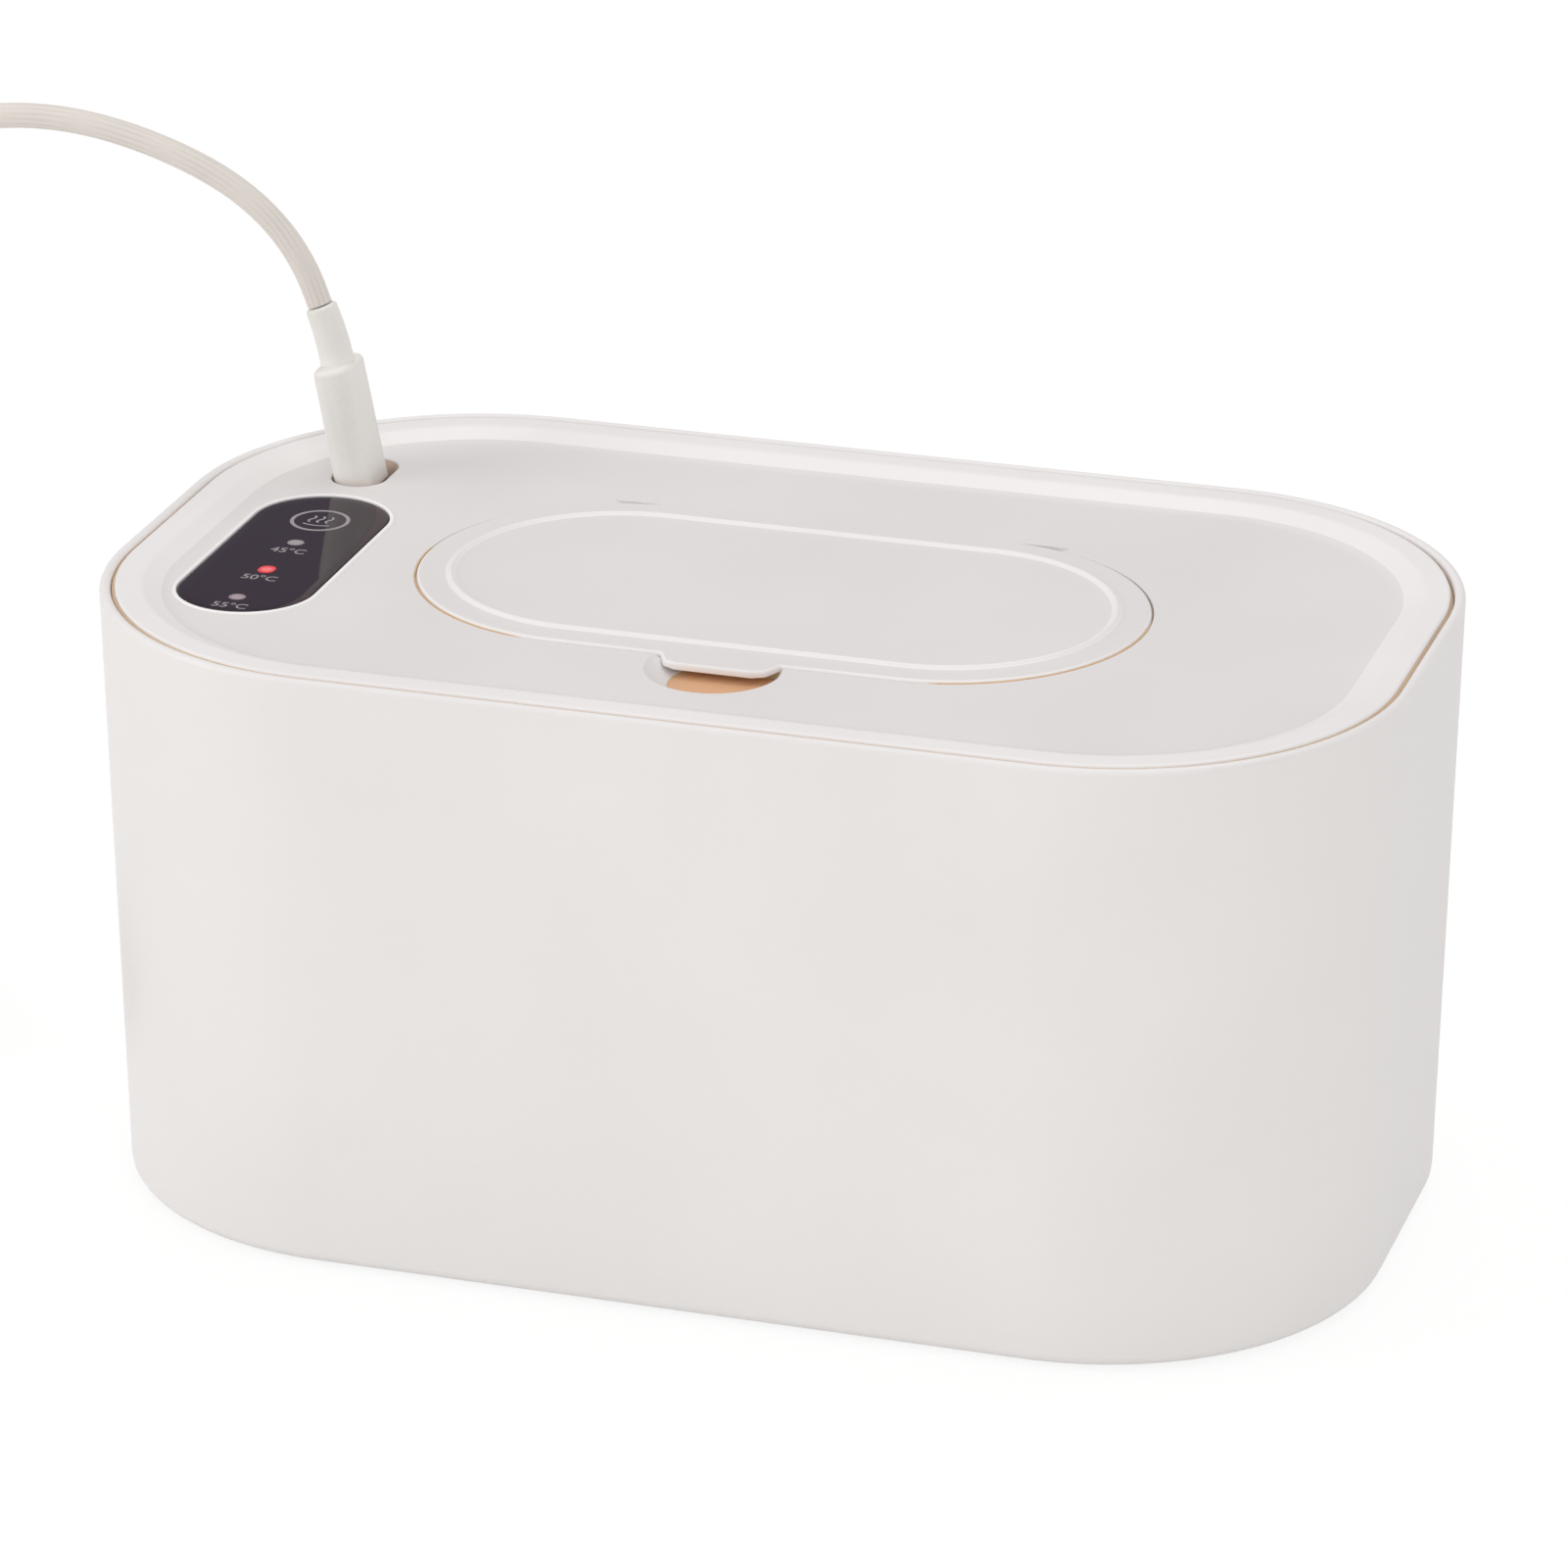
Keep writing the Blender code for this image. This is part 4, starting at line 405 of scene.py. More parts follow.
tub_plastic = moulded("satin_abs_tub", "EEECEB", "E9E7E6", 0.42, 0.5 * mm, 0.012 * mm)
tub_profile = [
    (8 * mm, base_z, 0),
    (lean, base_z, 1.9 * mm),
    (0, rim_z, 0.85 * mm),
    (wall, rim_z, 0.75 * mm),
    (wall + lean, floor_z, 4.0 * mm),
    (12 * mm, floor_z, 0),
]
tub = ringed("tub_moulding", *rim, tub_profile, tub_plastic, steps=40)
foot_x, foot_y, well_disc = 74.88 * mm, 32.38 * mm, 3 * [6.3 * mm]
well = [(0, -1 * mm, 0), (0, 2.5 * mm, 0)]
wells = []
for side_x in (-1, 1):
    for side_y in (-1, 1):
        place = (side_x * foot_x, side_y * foot_y)
        wells.append(ringed("foot_well", *well_disc, well, steps=8, place=place))
settle(combine(tub, "DIFFERENCE", *wells))
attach(tub, "tub_body")

# The ribs' inner faces stand under the skirt, and their roots lie inside the wall.
skirt_inner, rib_root, rib_half = 4.693 * mm, 1.0 * mm, 1.0 * mm
rib_low, rib_high, lean_high_up = 3 * mm, 90 * mm, 0.24 * mm
ribs = []
for angle, reach, along in [
    (90, half_width, 38 * mm),
    (-90, half_width, 38 * mm),
    (0, half_length, 11 * mm),
    (180, half_length, 11 * mm),
]:
    inner, root = reach - skirt_inner, reach - rib_root
    foot, head = root - lean, root - lean_high_up
    corners = [(inner, rib_low), (foot, rib_low), (head, rib_high), (inner, rib_high)]
    for middle in (-along, along):
        edges = [np.insert(corners, 1, middle + half, axis=1) for half in (rib_half, -rib_half)]
        ribs.append(np.stack(edges) @ np.array(Matrix.Rotation(radians(angle), 3, "Z")).T)
one_rib = ring_faces(2, 4)
rib_faces = [[8 * i + corner for corner in face] for i in range(len(ribs)) for face in one_rib]
rib_set = new_piece("lid_rest_ribs", np.stack(ribs), rib_faces, tub_plastic)
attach(rib_set, "tub_body")
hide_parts("tub")


def dress(finish, *names):
    """Gives parts of the frame a finish."""
    for name in names:
        nodes[name].data.materials.clear()
        nodes[name].data.materials.append(finish)


# Feet: four discs of soft grey rubber, pressed into wells under the tub. Rubber is matt, with a
# faint bloom.
foot_rubber = moulded("foot_rubber", "D9D6D2", "CFCCC8", 0.8, 0.4 * mm, 0.02 * mm)
dress(foot_rubber, "foot_front_left", "foot_front_right", "foot_back_left", "foot_back_right")

# Lid shell: a second moulding in the same white plastic. Its border is flush with the tub's rim and
# glossier; the recessed face has a fine matt grain, and its colour is painted darker, as shade.
lid_plastic = moulded("satin_abs_lid", "F1EFEE", "ECEAE9", 0.38, 0.5 * mm, 0.012 * mm)
recess_plastic_painted_shade = moulded("grained_abs_painted_shade", "E5E2E1", "DFDCDB", 0.5, 0.5 * mm, 0.016 * mm)
face_z, plate_under_z, step_z = 100.2 * mm, 98.2 * mm, 100 * mm
lid_edge, skirt_outer, border_inner, recess_edge = 2.45 * mm, 2.893 * mm, 6.693 * mm, 10.893 * mm
skirt_low, groove_low, groove_high, groove_floor = 90.3 * mm, 97.0 * mm, 99.2 * mm, 4.1 * mm
lid_profile = [
    (recess_edge, plate_under_z, 0),
    (border_inner, step_z, 0),
    (skirt_inner, step_z, 0),
    (skirt_inner, skirt_low, 0),
    (skirt_outer, skirt_low, 0.3 * mm),
    (skirt_outer, groove_low, 0),
    (groove_floor, groove_low, 0),
    (groove_floor, groove_high, 0),
    (skirt_outer, groove_high, 0),
    (skirt_outer, face_z, 0),
    (lid_edge, 100.6 * mm, 0),
    (lid_edge, rim_z, 0.5 * mm),
    (border_inner, rim_z, 3.0 * mm),
    (recess_edge, face_z, 5.0 * mm),
    (12.0 * mm, face_z, 0),
]
shell = ringed("lid_shell_moulding", *rim, lid_profile, lid_plastic, steps=40)

# Under the face stand the cap's pocket, the scoop's cup and a collar round the plug's hole.
pocket_x, pocket_y, pocket_z = 60.75 * mm, 32.75 * mm, 94.5 * mm
pocket_wall, inside_plate, clear = 1.6 * mm, 99.3 * mm, 3 * mm
body_x, body_y, cup_disc = pocket_x + pocket_wall, pocket_y + pocket_wall, 3 * [12.2 * mm]
body = [(0.2 * mm, pocket_z - pocket_wall, 0), (0, inside_plate, 0)]
collar = [(0, 95 * mm, 0), (0, inside_plate, 0)]
scoop_floor = 98.2 * mm
scoop_place, hole_place = np.array([0, -35.75]) * mm, np.array([-83.75, 33.3]) * mm
combine(
    shell,
    "UNION",
    ringed("pocket_body", body_x, body_y, body_y, body),
    ringed("scoop_body", *cup_disc, body, place=scoop_place),
    ringed("hole_collar", 6.1 * mm, 8.8 * mm, 6.1 * mm, collar, place=hole_place),
)


def opening(floor, edge):
    """A cutter's profile: straight up from its floor, flared at the face by an edge radius."""
    angle = np.linspace(0, pi / 2, 7)
    flare = [(-edge + edge * cos(a), face_z - edge + edge * sin(a), 0) for a in angle]
    return [(0, floor, 0), *flare, (-edge, face_z + clear, 0)]


# Two short ramps beside the hinge let the cap's back corners swing. The second one goes round the
# other way, so that its faces point outwards too.
ramp_outline = mm * np.array(
    [(28, 98.1), (33.77, 98.1), (35.77, 98.9), (39.2, 100.2), (40.2, 101.2), (28, 101.2)]
)
ramps = []
for side in (-1, 1):
    mirrored = ramp_outline * (side, 1)
    ends = [np.insert(mirrored, 1, y * mm, axis=1) for y in (30.05, 32.7)[::-side]]
    ramps.append(new_piece("hinge_ramp", np.stack(ends), ring_faces(2, len(ramp_outline))))

# The finger scoop is round at the face; its floor is smaller and lies to the right, so the left
# side is a slope.
scoop_turn = np.linspace(0, 2 * pi, 64, endpoint=False)
circle = np.stack([np.cos(scoop_turn), np.sin(scoop_turn)], axis=1)
floor_place = scoop_place + np.array([1.9, -1.9]) * mm
scoop_rows = []
for height, radius, middle in [
    (pocket_z, 8.6 * mm, floor_place),
    (scoop_floor, 8.6 * mm, floor_place),
    (face_z - 0.4 * mm, 10.6 * mm, scoop_place),
    (face_z, 11.0 * mm, scoop_place),
    (face_z + clear, 11.0 * mm, scoop_place),
]:
    scoop_rows.append(np.column_stack([radius * circle + middle, np.full(len(circle), height)]))

panel_place = np.array([-82.6, -7.5]) * mm
hole_x, hole_y = 4.7 * mm, 7.4 * mm
passage = [(0, 90 * mm, 0), (0, 96 * mm, 0)]
lens_seat, plug_hole = opening(98.7 * mm, 0.1 * mm), opening(90 * mm, 0.3 * mm)
combine(
    shell,
    "DIFFERENCE",
    ringed("pocket_cut", pocket_x, pocket_y, pocket_y, opening(pocket_z, 0.12 * mm), steps=32),
    new_piece("scoop_cut", np.stack(scoop_rows), ring_faces(len(scoop_rows), len(circle))),
    ringed("passage_cut", 44 * mm, 18 * mm, 18 * mm, passage),
    ringed("lens_seat", 12.1 * mm, 28.8 * mm, 12.1 * mm, lens_seat, place=panel_place),
    ringed("plug_hole", hole_x, hole_y, hole_x, plug_hole, place=hole_place),
    *ramps,
)
settle(shell)

# The recessed face takes the grained finish, painted darker as shade, and the walls of the plug's
# hole a pinkish tan, painted as the warm shade inside the hole.
recess_corner, painted_shade_from = 39 * mm, 94 * mm
hole_painted_shade = moulded("pinkish_tan_painted_shade", "F4E0D2", "ECD4C4", 0.5, 0.5 * mm, 0.01 * mm)
for finish in (recess_plastic_painted_shade, hole_painted_shade):
    shell.data.materials.append(finish)
centres = np.zeros(len(shell.data.polygons) * 3)
shell.data.polygons.foreach_get("center", centres)
x, y, z = centres.reshape(-1, 3).T
past_x = np.maximum(np.abs(x) - (half_length - rim_corner), 0)
past_y = np.maximum(np.abs(y) - (half_width - rim_corner), 0)
painted_shade_faces = (np.hypot(past_x, past_y) < recess_corner) & (z > painted_shade_from)
past_hole = np.maximum(np.abs(y - hole_place[1]) - (hole_y - hole_x), 0)
# The hole's walls below the face are painted pinkish tan, as the warm shade inside the hole.
hole_shade_faces = (np.hypot(x - hole_place[0], past_hole) < hole_x + 0.05 * mm) & (z < face_z - 0.3 * mm)
shell.data.polygons.foreach_set("material_index", np.where(hole_shade_faces, 2, painted_shade_faces).astype(np.int32))
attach(shell, "lid")
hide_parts("lid_shell")

# Seal: a ring of soft tan silicone in a groove round the lid, whose lip fills the gap to the tub.
# Silicone is matt, slightly translucent and collects a little dust. The lip lies deeper behind.
soft = {"Subsurface_Weight": 0.4, "Subsurface_Scale": 0.002}
silicone = moulded("tan_silicone", "E2C0A4", "D8B497", 0.55, 0.6 * mm, 0.02 * mm, **soft)
seal_profile = mm * np.array(
    [
        (3.893, 97.3, 0),
        (2.143, 97.3, 0.2),
        (1.92, 101.2, 0.1),
        (2.32, 101.62, 0.06),
        (2.43, 101.5, 0),
        (2.43, 100.55, 0),
        (2.86, 100.15, 0),
        (2.86, 98.9, 0),
        (3.893, 98.9, 0),
    ]
)
pressed_depth, lip_from = 0.6 * mm, 101 * mm
seal_rings = outline_rings(*rim, softened(seal_profile), steps=40)
pressed = np.clip(seal_rings[:, :, 1] / (30 * mm) + 0.2, 0, 1) * (seal_rings[:, :, 2] > lip_from)
seal_rings[:, :, 2] -= pressed_depth * pressed
seal_faces = ring_faces(*seal_rings.shape[:2], closed=True)
seal = new_piece("lid_seal_ring", seal_rings, seal_faces, silicone)
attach(seal, "lid")
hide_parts("lid_seal")

# Silicone sheet in the cap's pocket: its edge shows as a tan line in the gap round the cap, a bead
# meets the cap's rib, and a tongue of it lines the finger scoop.
soft = {"Subsurface_Weight": 0.6, "Subsurface_Scale": 0.003}
mouth_silicone = moulded(
    "orange_tan_silicone", "E4B48C", "DBA67C", 0.5, 0.6 * mm, 0.02 * mm, **soft
)
sheet_low, sheet_top, edge_low, edge_top = 94.8 * mm, 95.8 * mm, 97.0 * mm, 97.6 * mm
cap_x, cap_y = 60.45 * mm, 32.45 * mm
inner, outer = (48.8 * mm, 22.8 * mm, 22.8 * mm), (cap_x, cap_y, cap_y)
edge_inside, edge_gap, edge_outside = 1.2 * mm, -0.04 * mm, -0.27 * mm
bead_offset, bead_half, bead_height = -1.8 * mm, 0.7 * mm, 1.4 * mm
sheet_rows = [(outer, edge_outside, sheet_low), (inner, 0, sheet_low), (inner, 0, sheet_top)]
for a in np.linspace(0, pi, 9):
    height = sheet_top + bead_height * sin(a) ** 0.8
    sheet_rows.append((inner, bead_offset + bead_half * cos(a), height))
sheet_rows += [
    (outer, edge_inside, sheet_top),
    (outer, edge_inside, edge_low),
    (outer, edge_gap, edge_low),
    (outer, edge_gap, edge_top),
    (outer, edge_outside, edge_top),
    (outer, edge_outside, edge_low),
]
sheet_rings = np.stack(
    [outline_rings(*line, np.array([[offset, z]]), 32)[0] for line, offset, z in sheet_rows[::-1]]
)
# The edge rises round the front, away from the hinge, and stands proud of the face at both ends.
raise_height, raise_from, proud_height, proud_from = 1.9 * mm, 28 * mm, 0.78 * mm, 8 * mm
straight_half = cap_x - cap_y
x, y = np.abs(sheet_rings[:, :, 0]), sheet_rings[:, :, 1]
raised = raise_height * eased((raise_from - y) / (12 * mm))
at_ends = np.clip((x - straight_half) / (8 * mm), 0, 1)
proud = proud_height * eased(np.clip((proud_from - y) / (8 * mm), 0, 1) * at_ends)
sheet_rings[:, :, 2] += (sheet_rings[:, :, 2] > edge_top - 0.2 * mm) * (raised + proud)
sheet_faces = ring_faces(*sheet_rings.shape[:2], closed=True)
sheet = new_piece("cap_seal_sheet", sheet_rings, sheet_faces, mouth_silicone)
lining_disc = 3 * [10.3 * mm]
lining_profile = [(0, sheet_low, 0), (0, scoop_floor, 0.2 * mm), (4 * mm, scoop_floor, 0)]
lining = ringed("scoop_lining", *lining_disc, lining_profile, place=scoop_place)
settle(combine(sheet, "UNION", lining))
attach(sheet, "lid")
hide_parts("cap_seal")

# Mouth: a thinner silicone sheet that the wipes are pulled through, with a long slot and a wider
# eye in the middle; its lips are rounded.
mouth_profile = [(0, sheet_low, 0), (0, sheet_top, 0.3 * mm), (3 * mm, sheet_top, 0)]
mouth = ringed(
    "wipes_mouth_sheet", 48.5 * mm, 22.5 * mm, 22.5 * mm, mouth_profile, mouth_silicone
)
lip = 0.25 * mm
lips = [(0, 93 * mm, 0), (0, sheet_top - lip, 0), (-lip, sheet_top, 0), (-lip, 98 * mm, 0)]
slot = ringed("slot_cut", 33 * mm, 3.2 * mm, 3.2 * mm, lips)
eye = ringed("eye_cut", 8.5 * mm, 8.5 * mm, 8.5 * mm, lips)
settle(combine(mouth, "DIFFERENCE", slot, eye))
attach(mouth, "lid")
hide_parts("wipes_mouth")

# Flip cap: a plate in the lid's plastic with a low raised bead, a rounded edge, a finger tab and
# a sealing rib under it. It turns on two steel pins at its back corners.
under_z, cap_top = face_z - 2.0 * mm, face_z + 0.35 * mm
bead_middle, bead_half, bead_rise = 5.6 * mm, 0.85 * mm, 0.5 * mm
bead = []
for s in np.linspace(-1, 1, 13):
    bead.append((bead_middle + bead_half * s, cap_top + bead_rise * (1 + cos(pi * s)) / 2, 0))
cap_profile = [
    (4 * mm, under_z, 0),
    (0, under_z, 0.25 * mm),
    (0, cap_top, 0.75 * mm),
    *bead,
    (9 * mm, cap_top, 0),
]
cap = ringed("flip_cap_moulding", cap_x, cap_y, cap_y, cap_profile, recess_plastic_painted_shade, steps=40)
side_points = np.array([(-10.2, -30.75), (-10.2, -31.75), (-8.4, -35.45), (-6.4, -36.45)]) * mm
edge_points = np.concatenate([side_points, side_points[::-1] * np.array([-1, 1])])
tab_middle, tab_top = np.array([0, -30.75 * mm]), cap_top - 0.01 * mm
inward = (tab_middle - edge_points) / np.linalg.norm(tab_middle - edge_points, axis=1)[:, None]
tab_profile = [
    (0.2 * mm, 99.35 * mm, 0),
    (0, 99.5 * mm, 0),
    (0, tab_top, 0.6 * mm),
    (1.6 * mm, tab_top, 0),
]
tab_rows = []
for inset, height in softened(tab_profile):
    ring = edge_points + inward * inset
    tab_rows.append(np.column_stack([ring, np.full(len(ring), height)]))
tab_faces = ring_faces(len(tab_rows), len(edge_points))
tab = new_piece("cap_tab", np.stack(tab_rows), tab_faces, recess_plastic_painted_shade)
rib_side, rib_foot, rib_top = 0.6 * mm, 97.5 * mm, 98.7 * mm
rib_profile = [
    (-rib_side, rib_foot, 0.2 * mm),
    (-rib_side, rib_top, 0),
    (rib_side, rib_top, 0),
    (rib_side, rib_foot, 0.2 * mm),
]
rib = ringed(
    "cap_rib", 50.6 * mm, 24.6 * mm, 24.6 * mm, rib_profile, recess_plastic_painted_shade, closed=True
)
settle(combine(cap, "UNION", tab, rib))
# The rounded edges and the bead take the border's lighter colour: a painted highlight on them.
cap.data.materials.append(lid_plastic)
normals, middles = np.zeros((2, len(cap.data.polygons) * 3))
cap.data.polygons.foreach_get("normal", normals)
cap.data.polygons.foreach_get("center", middles)
painted_highlight_faces = (normals[2::3] < 0.98) & (middles[2::3] > under_z + 0.3 * mm)
cap.data.polygons.foreach_set("material_index", painted_highlight_faces.astype(np.int32))
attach(cap, "cap")
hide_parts("flip_cap")

# Power plug: an overmoulded grip with a plated tip, standing in a slot in the lid and leaning a
# little to the left, and a short soft boot round the lead. The plastic is faintly streaked.
plug_plastic = moulded("satin_tpe_plug", "F8F6F2", "E6E3DD", 0.5, 0.6 * mm, 0.03 * mm)
plug_place, plug_lean = np.array([-84.65 * mm, 33.3 * mm, face_z]), radians(-10.6)
upright_to_leaning = np.array(Matrix.Rotation(plug_lean, 3, "Y")).T
grip_low, grip_top = -2.8 * mm, 19.3 * mm
grip_profile = [
    (0.45 * mm, grip_low, 0),
    (0, grip_low + 0.45 * mm, 0.3 * mm),
    (0.15 * mm, grip_top, 1.0 * mm),
    (2.2 * mm, grip_top, 0),
]
grip_rings = outline_rings(3.3 * mm, 5.9 * mm, 2.8 * mm, softened(grip_profile), steps=10)
grip_rings = grip_rings @ upright_to_leaning + plug_place
grip_faces = ring_faces(*grip_rings.shape[:2])
grip = new_piece("plug_grip_moulding", grip_rings, grip_faces, plug_plastic)
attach(grip, "lid")
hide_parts("plug_grip")

# The boot bends to the left as it rises, tapers, and is rounded off at its end.
boot_start, boot_length, boot_bend, boot_columns = 19.1 * mm, 10.2 * mm, 1.0 * mm, 32
boot_radius, boot_taper, boot_rounding, rounded_from = 2.9 * mm, 0.2 * mm, 0.5 * mm, 0.94
rise = np.linspace(0, 1, 41)
boot_path = np.stack([-boot_bend * rise**2, 0 * rise, boot_start + boot_length * rise], axis=1)
boot_path = boot_path @ upright_to_leaning + plug_place
closing = np.clip((rise - rounded_from) / (1 - rounded_from), 0, 1)
boot_radii = boot_radius - boot_taper * rise - boot_rounding * (1 - np.sqrt(1 - closing**2))
boot_points = tube_points(boot_path, boot_radii, boot_columns)
boot_faces = ring_faces(len(boot_path), boot_columns)
boot = new_piece("plug_boot_moulding", boot_points, boot_faces, plug_plastic)
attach(boot, "lid")
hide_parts("plug_boot")


# Metal of the plugs, the socket and the hinge's pins: plated steel, bright, with fine marks along
# it from being drawn and folded.
def worked_metal(name, colour, roughness, size, detail, stretch, glosses, depth=None, tones=None):
    """A bare metal whose gloss follows noise of a size, drawn out along the piece by a stretch.

    Where they are given, a depth raises the same marks, and two tones colour them.
    """
    finish, tree, shader = new_finish(name, colour, roughness, Metallic=1.0)
    on_object = {"Vector": add_node(tree, "ShaderNodeTexCoord").outputs["Object"]}
    drawn_out = add_node(tree, "ShaderNodeMapping", {"Scale": stretch}, on_object)
    settings, links = {"Scale": 1 / size, "Detail": detail}, {"Vector": drawn_out.outputs[0]}
    marks = add_node(tree, "ShaderNodeTexNoise", settings, links).outputs[0]
    settings = {"To Min": glosses[0], "To Max": glosses[1]}
    gloss = add_node(tree, "ShaderNodeMapRange", settings, {"Value": marks})
    join_shader(tree, shader, Roughness=gloss.outputs[0])
    if depth:
        settings = {"Strength": 0.15, "Distance": depth}
        bump = add_node(tree, "ShaderNodeBump", settings, {"Height": marks})
        join_shader(tree, shader, Normal=bump.outputs[0])
    if tones:
        settings = {"data_type": "RGBA", 6: linear(tones[0]), 7: linear(tones[1])}
        streaks = add_node(tree, "ShaderNodeMix", settings, {0: marks})
        join_shader(tree, shader, Base_Color=streaks.outputs[2])
    return finish


plated = worked_metal(
    "plated_steel", "C4C6C8", 0.28, 0.3 * mm, 3.0, (1, 1, 0.1), (0.2, 0.4), depth=0.01 * mm
)
dress(plated, "plug_tip", "socket_shell", "far_plug_shell", "hinge_pin_left", "hinge_pin_right")
dress(plug_plastic, "far_plug_grip")

# Tie: a strap of grey hook-and-loop tape round the coil, with a woven face. The weave is drawn
# coarser than the real one, and looks matt, with light threads over dark gaps.
tie_cloth, tree, shader = new_finish("woven_strap", "8E8B88", 0.9, Sheen_Weight=0.4)
on_object = {"Vector": add_node(tree, "ShaderNodeTexCoord").outputs["Object"]}
thread_spacing = 6 * mm
threads = []
for direction in ("Y", "X"):
    settings = {"Scale": 1 / thread_spacing, "Distortion": 1.0, "bands_direction": direction}
    threads.append(add_node(tree, "ShaderNodeTexWave", settings, on_object).outputs[1])
weave = add_node(tree, "ShaderNodeMath", {"operation": "MULTIPLY"}, {0: threads[0], 1: threads[1]})
settings = {"data_type": "RGBA", 6: linear("7A7774"), 7: linear("9C9996")}
colour = add_node(tree, "ShaderNodeMix", settings, {0: weave.outputs[0]})
bump = add_node(
    tree, "ShaderNodeBump", {"Strength": 0.5, "Distance": 0.1 * mm}, {"Height": weave.outputs[0]}
)
join_shader(tree, shader, Base_Color=colour.outputs[2], Normal=bump.outputs[0])
dress(tie_cloth, "cord_tie")

# Far plug's tongue: a white nylon moulding inside the plated shell. The lead ends at this plug.
tongue_white = moulded("white_nylon_tongue", "F2F2F0", "E8E8E6", 0.4, 0.4 * mm, 0.01 * mm)
dress(tongue_white, "far_plug_tongue")

# Control panel's lens: a smoked glossy acrylic plate set flush in the lid inside a narrow white
# trim, painted whiter than the lid as a highlight; the marks on the lens are printed in pale grey.
smoked, tree, shader = new_finish(
    "smoked_acrylic", "22101E", 0.05, IOR=1.49, Specular_IOR_Level=0.2
)
smear_size, lens_top, lens_x, lens_y = 9 * mm, face_z - 0.05 * mm, 11.15 * mm, 27.85 * mm
on_object = {"Vector": add_node(tree, "ShaderNodeTexCoord").outputs["Object"]}
smears = add_node(tree, "ShaderNodeTexNoise", {"Scale": 1 / smear_size, "Detail": 5.0}, on_object)
gloss = add_node(
    tree,
    "ShaderNodeMapRange",
    {"From Min": 0.3, "From Max": 0.8, "To Min": 0.03, "To Max": 0.08},
    {"Value": smears.outputs[0]},
)
join_shader(tree, shader, Roughness=gloss.outputs[0])
lens_profile = [(0, 99 * mm, 0), (0, lens_top, 0.2 * mm), (2 * mm, lens_top, 0)]
lens = ringed("panel_lens_plate", lens_x, lens_y, lens_x, lens_profile, smoked, place=panel_place)
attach(lens, "lid")
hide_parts("panel_lens")
# The trim's colour is painted whiter than the lid's, standing in for a highlight round the lens.
trim_painted_highlight = moulded("white_trim_painted_highlight", "FCFBFA", "F8F7F6", 0.15, 0.5 * mm, 0.004 * mm)
trim_low, trim_top, trim_width, trim_x, trim_y = np.array([98.8, 100.4, 0.75, 12.15, 28.85]) * mm
trim_profile = [
    (0, trim_low, 0),
    (0, trim_top, 0.3 * mm),
    (trim_width, trim_top, 0.3 * mm),
    (trim_width, trim_low, 0),
]
trim = ringed(
    "panel_trim", trim_x, trim_y, trim_x, trim_profile, trim_painted_highlight, closed=True, place=panel_place
)
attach(trim, "lid")

# Marks on the lens: screen-printed pale grey ink, slightly speckled, a hair over the plate. A ring
# to touch holds three waves of warmth over a line, and each lamp has its temperature under it.
mark_z = face_z - 0.03 * mm
dot_size = 0.4 * mm
ink, tree, shader = new_finish("pale_grey_ink", "9A9398", 0.45)
on_object = {"Vector": add_node(tree, "ShaderNodeTexCoord").outputs["Object"]}
speckle = add_node(tree, "ShaderNodeTexNoise", {"Scale": 1 / dot_size, "Detail": 2.0}, on_object)
settings = {"data_type": "RGBA", 6: linear("857E84"), 7: linear("A9A2A7")}
colour = add_node(tree, "ShaderNodeMix", settings, {0: speckle.outputs[0]})
join_shader(tree, shader, Base_Color=colour.outputs[2])


def line_mark(name, path, width):
    """A flat printed line: the path moved to either side by half its width, square to itself."""
    ahead = np.gradient(path, axis=0)
    side = np.stack([-ahead[:, 1], ahead[:, 0]], axis=1)
    side *= width / 2 / np.linalg.norm(ahead, axis=1)[:, None]
    rows = np.stack([path + side, path - side])
    flat = np.concatenate([rows, np.full((*rows.shape[:2], 1), mark_z)], axis=2)
    count = len(path)
    first = np.arange(count - 1)
    faces = np.stack([first + count, first + count + 1, first + 1, first], axis=1).tolist()
    mark = new_piece(name, flat, faces, ink)
    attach(mark, "lid")


touch_centre, touch_radius = np.array([-82.5, 8.7]) * mm, 4.65 * mm
round_ring = np.linspace(0, 2 * pi, 73)
touch_ring = touch_radius * np.stack([np.cos(round_ring), np.sin(round_ring)], axis=1)
line_mark("touch_ring", touch_centre + touch_ring, 0.65 * mm)
wave = np.linspace(-1, 1, 25)
for number, shift in enumerate((-1.5 * mm, 0, 1.5 * mm)):
    curl_x, curl_y = shift + 0.35 * mm * np.sin(pi * wave), 0.45 * mm + 1.5 * mm * wave
    line_mark(f"warmth_wave_{number}", touch_centre + np.stack([curl_x, curl_y], axis=1), 0.4 * mm)
base_line = np.stack([2.3 * mm * wave, -1.9 * mm - 0.5 * mm * (1 - wave**2)], axis=1)
line_mark("warmth_base", touch_centre + base_line, 0.4 * mm)

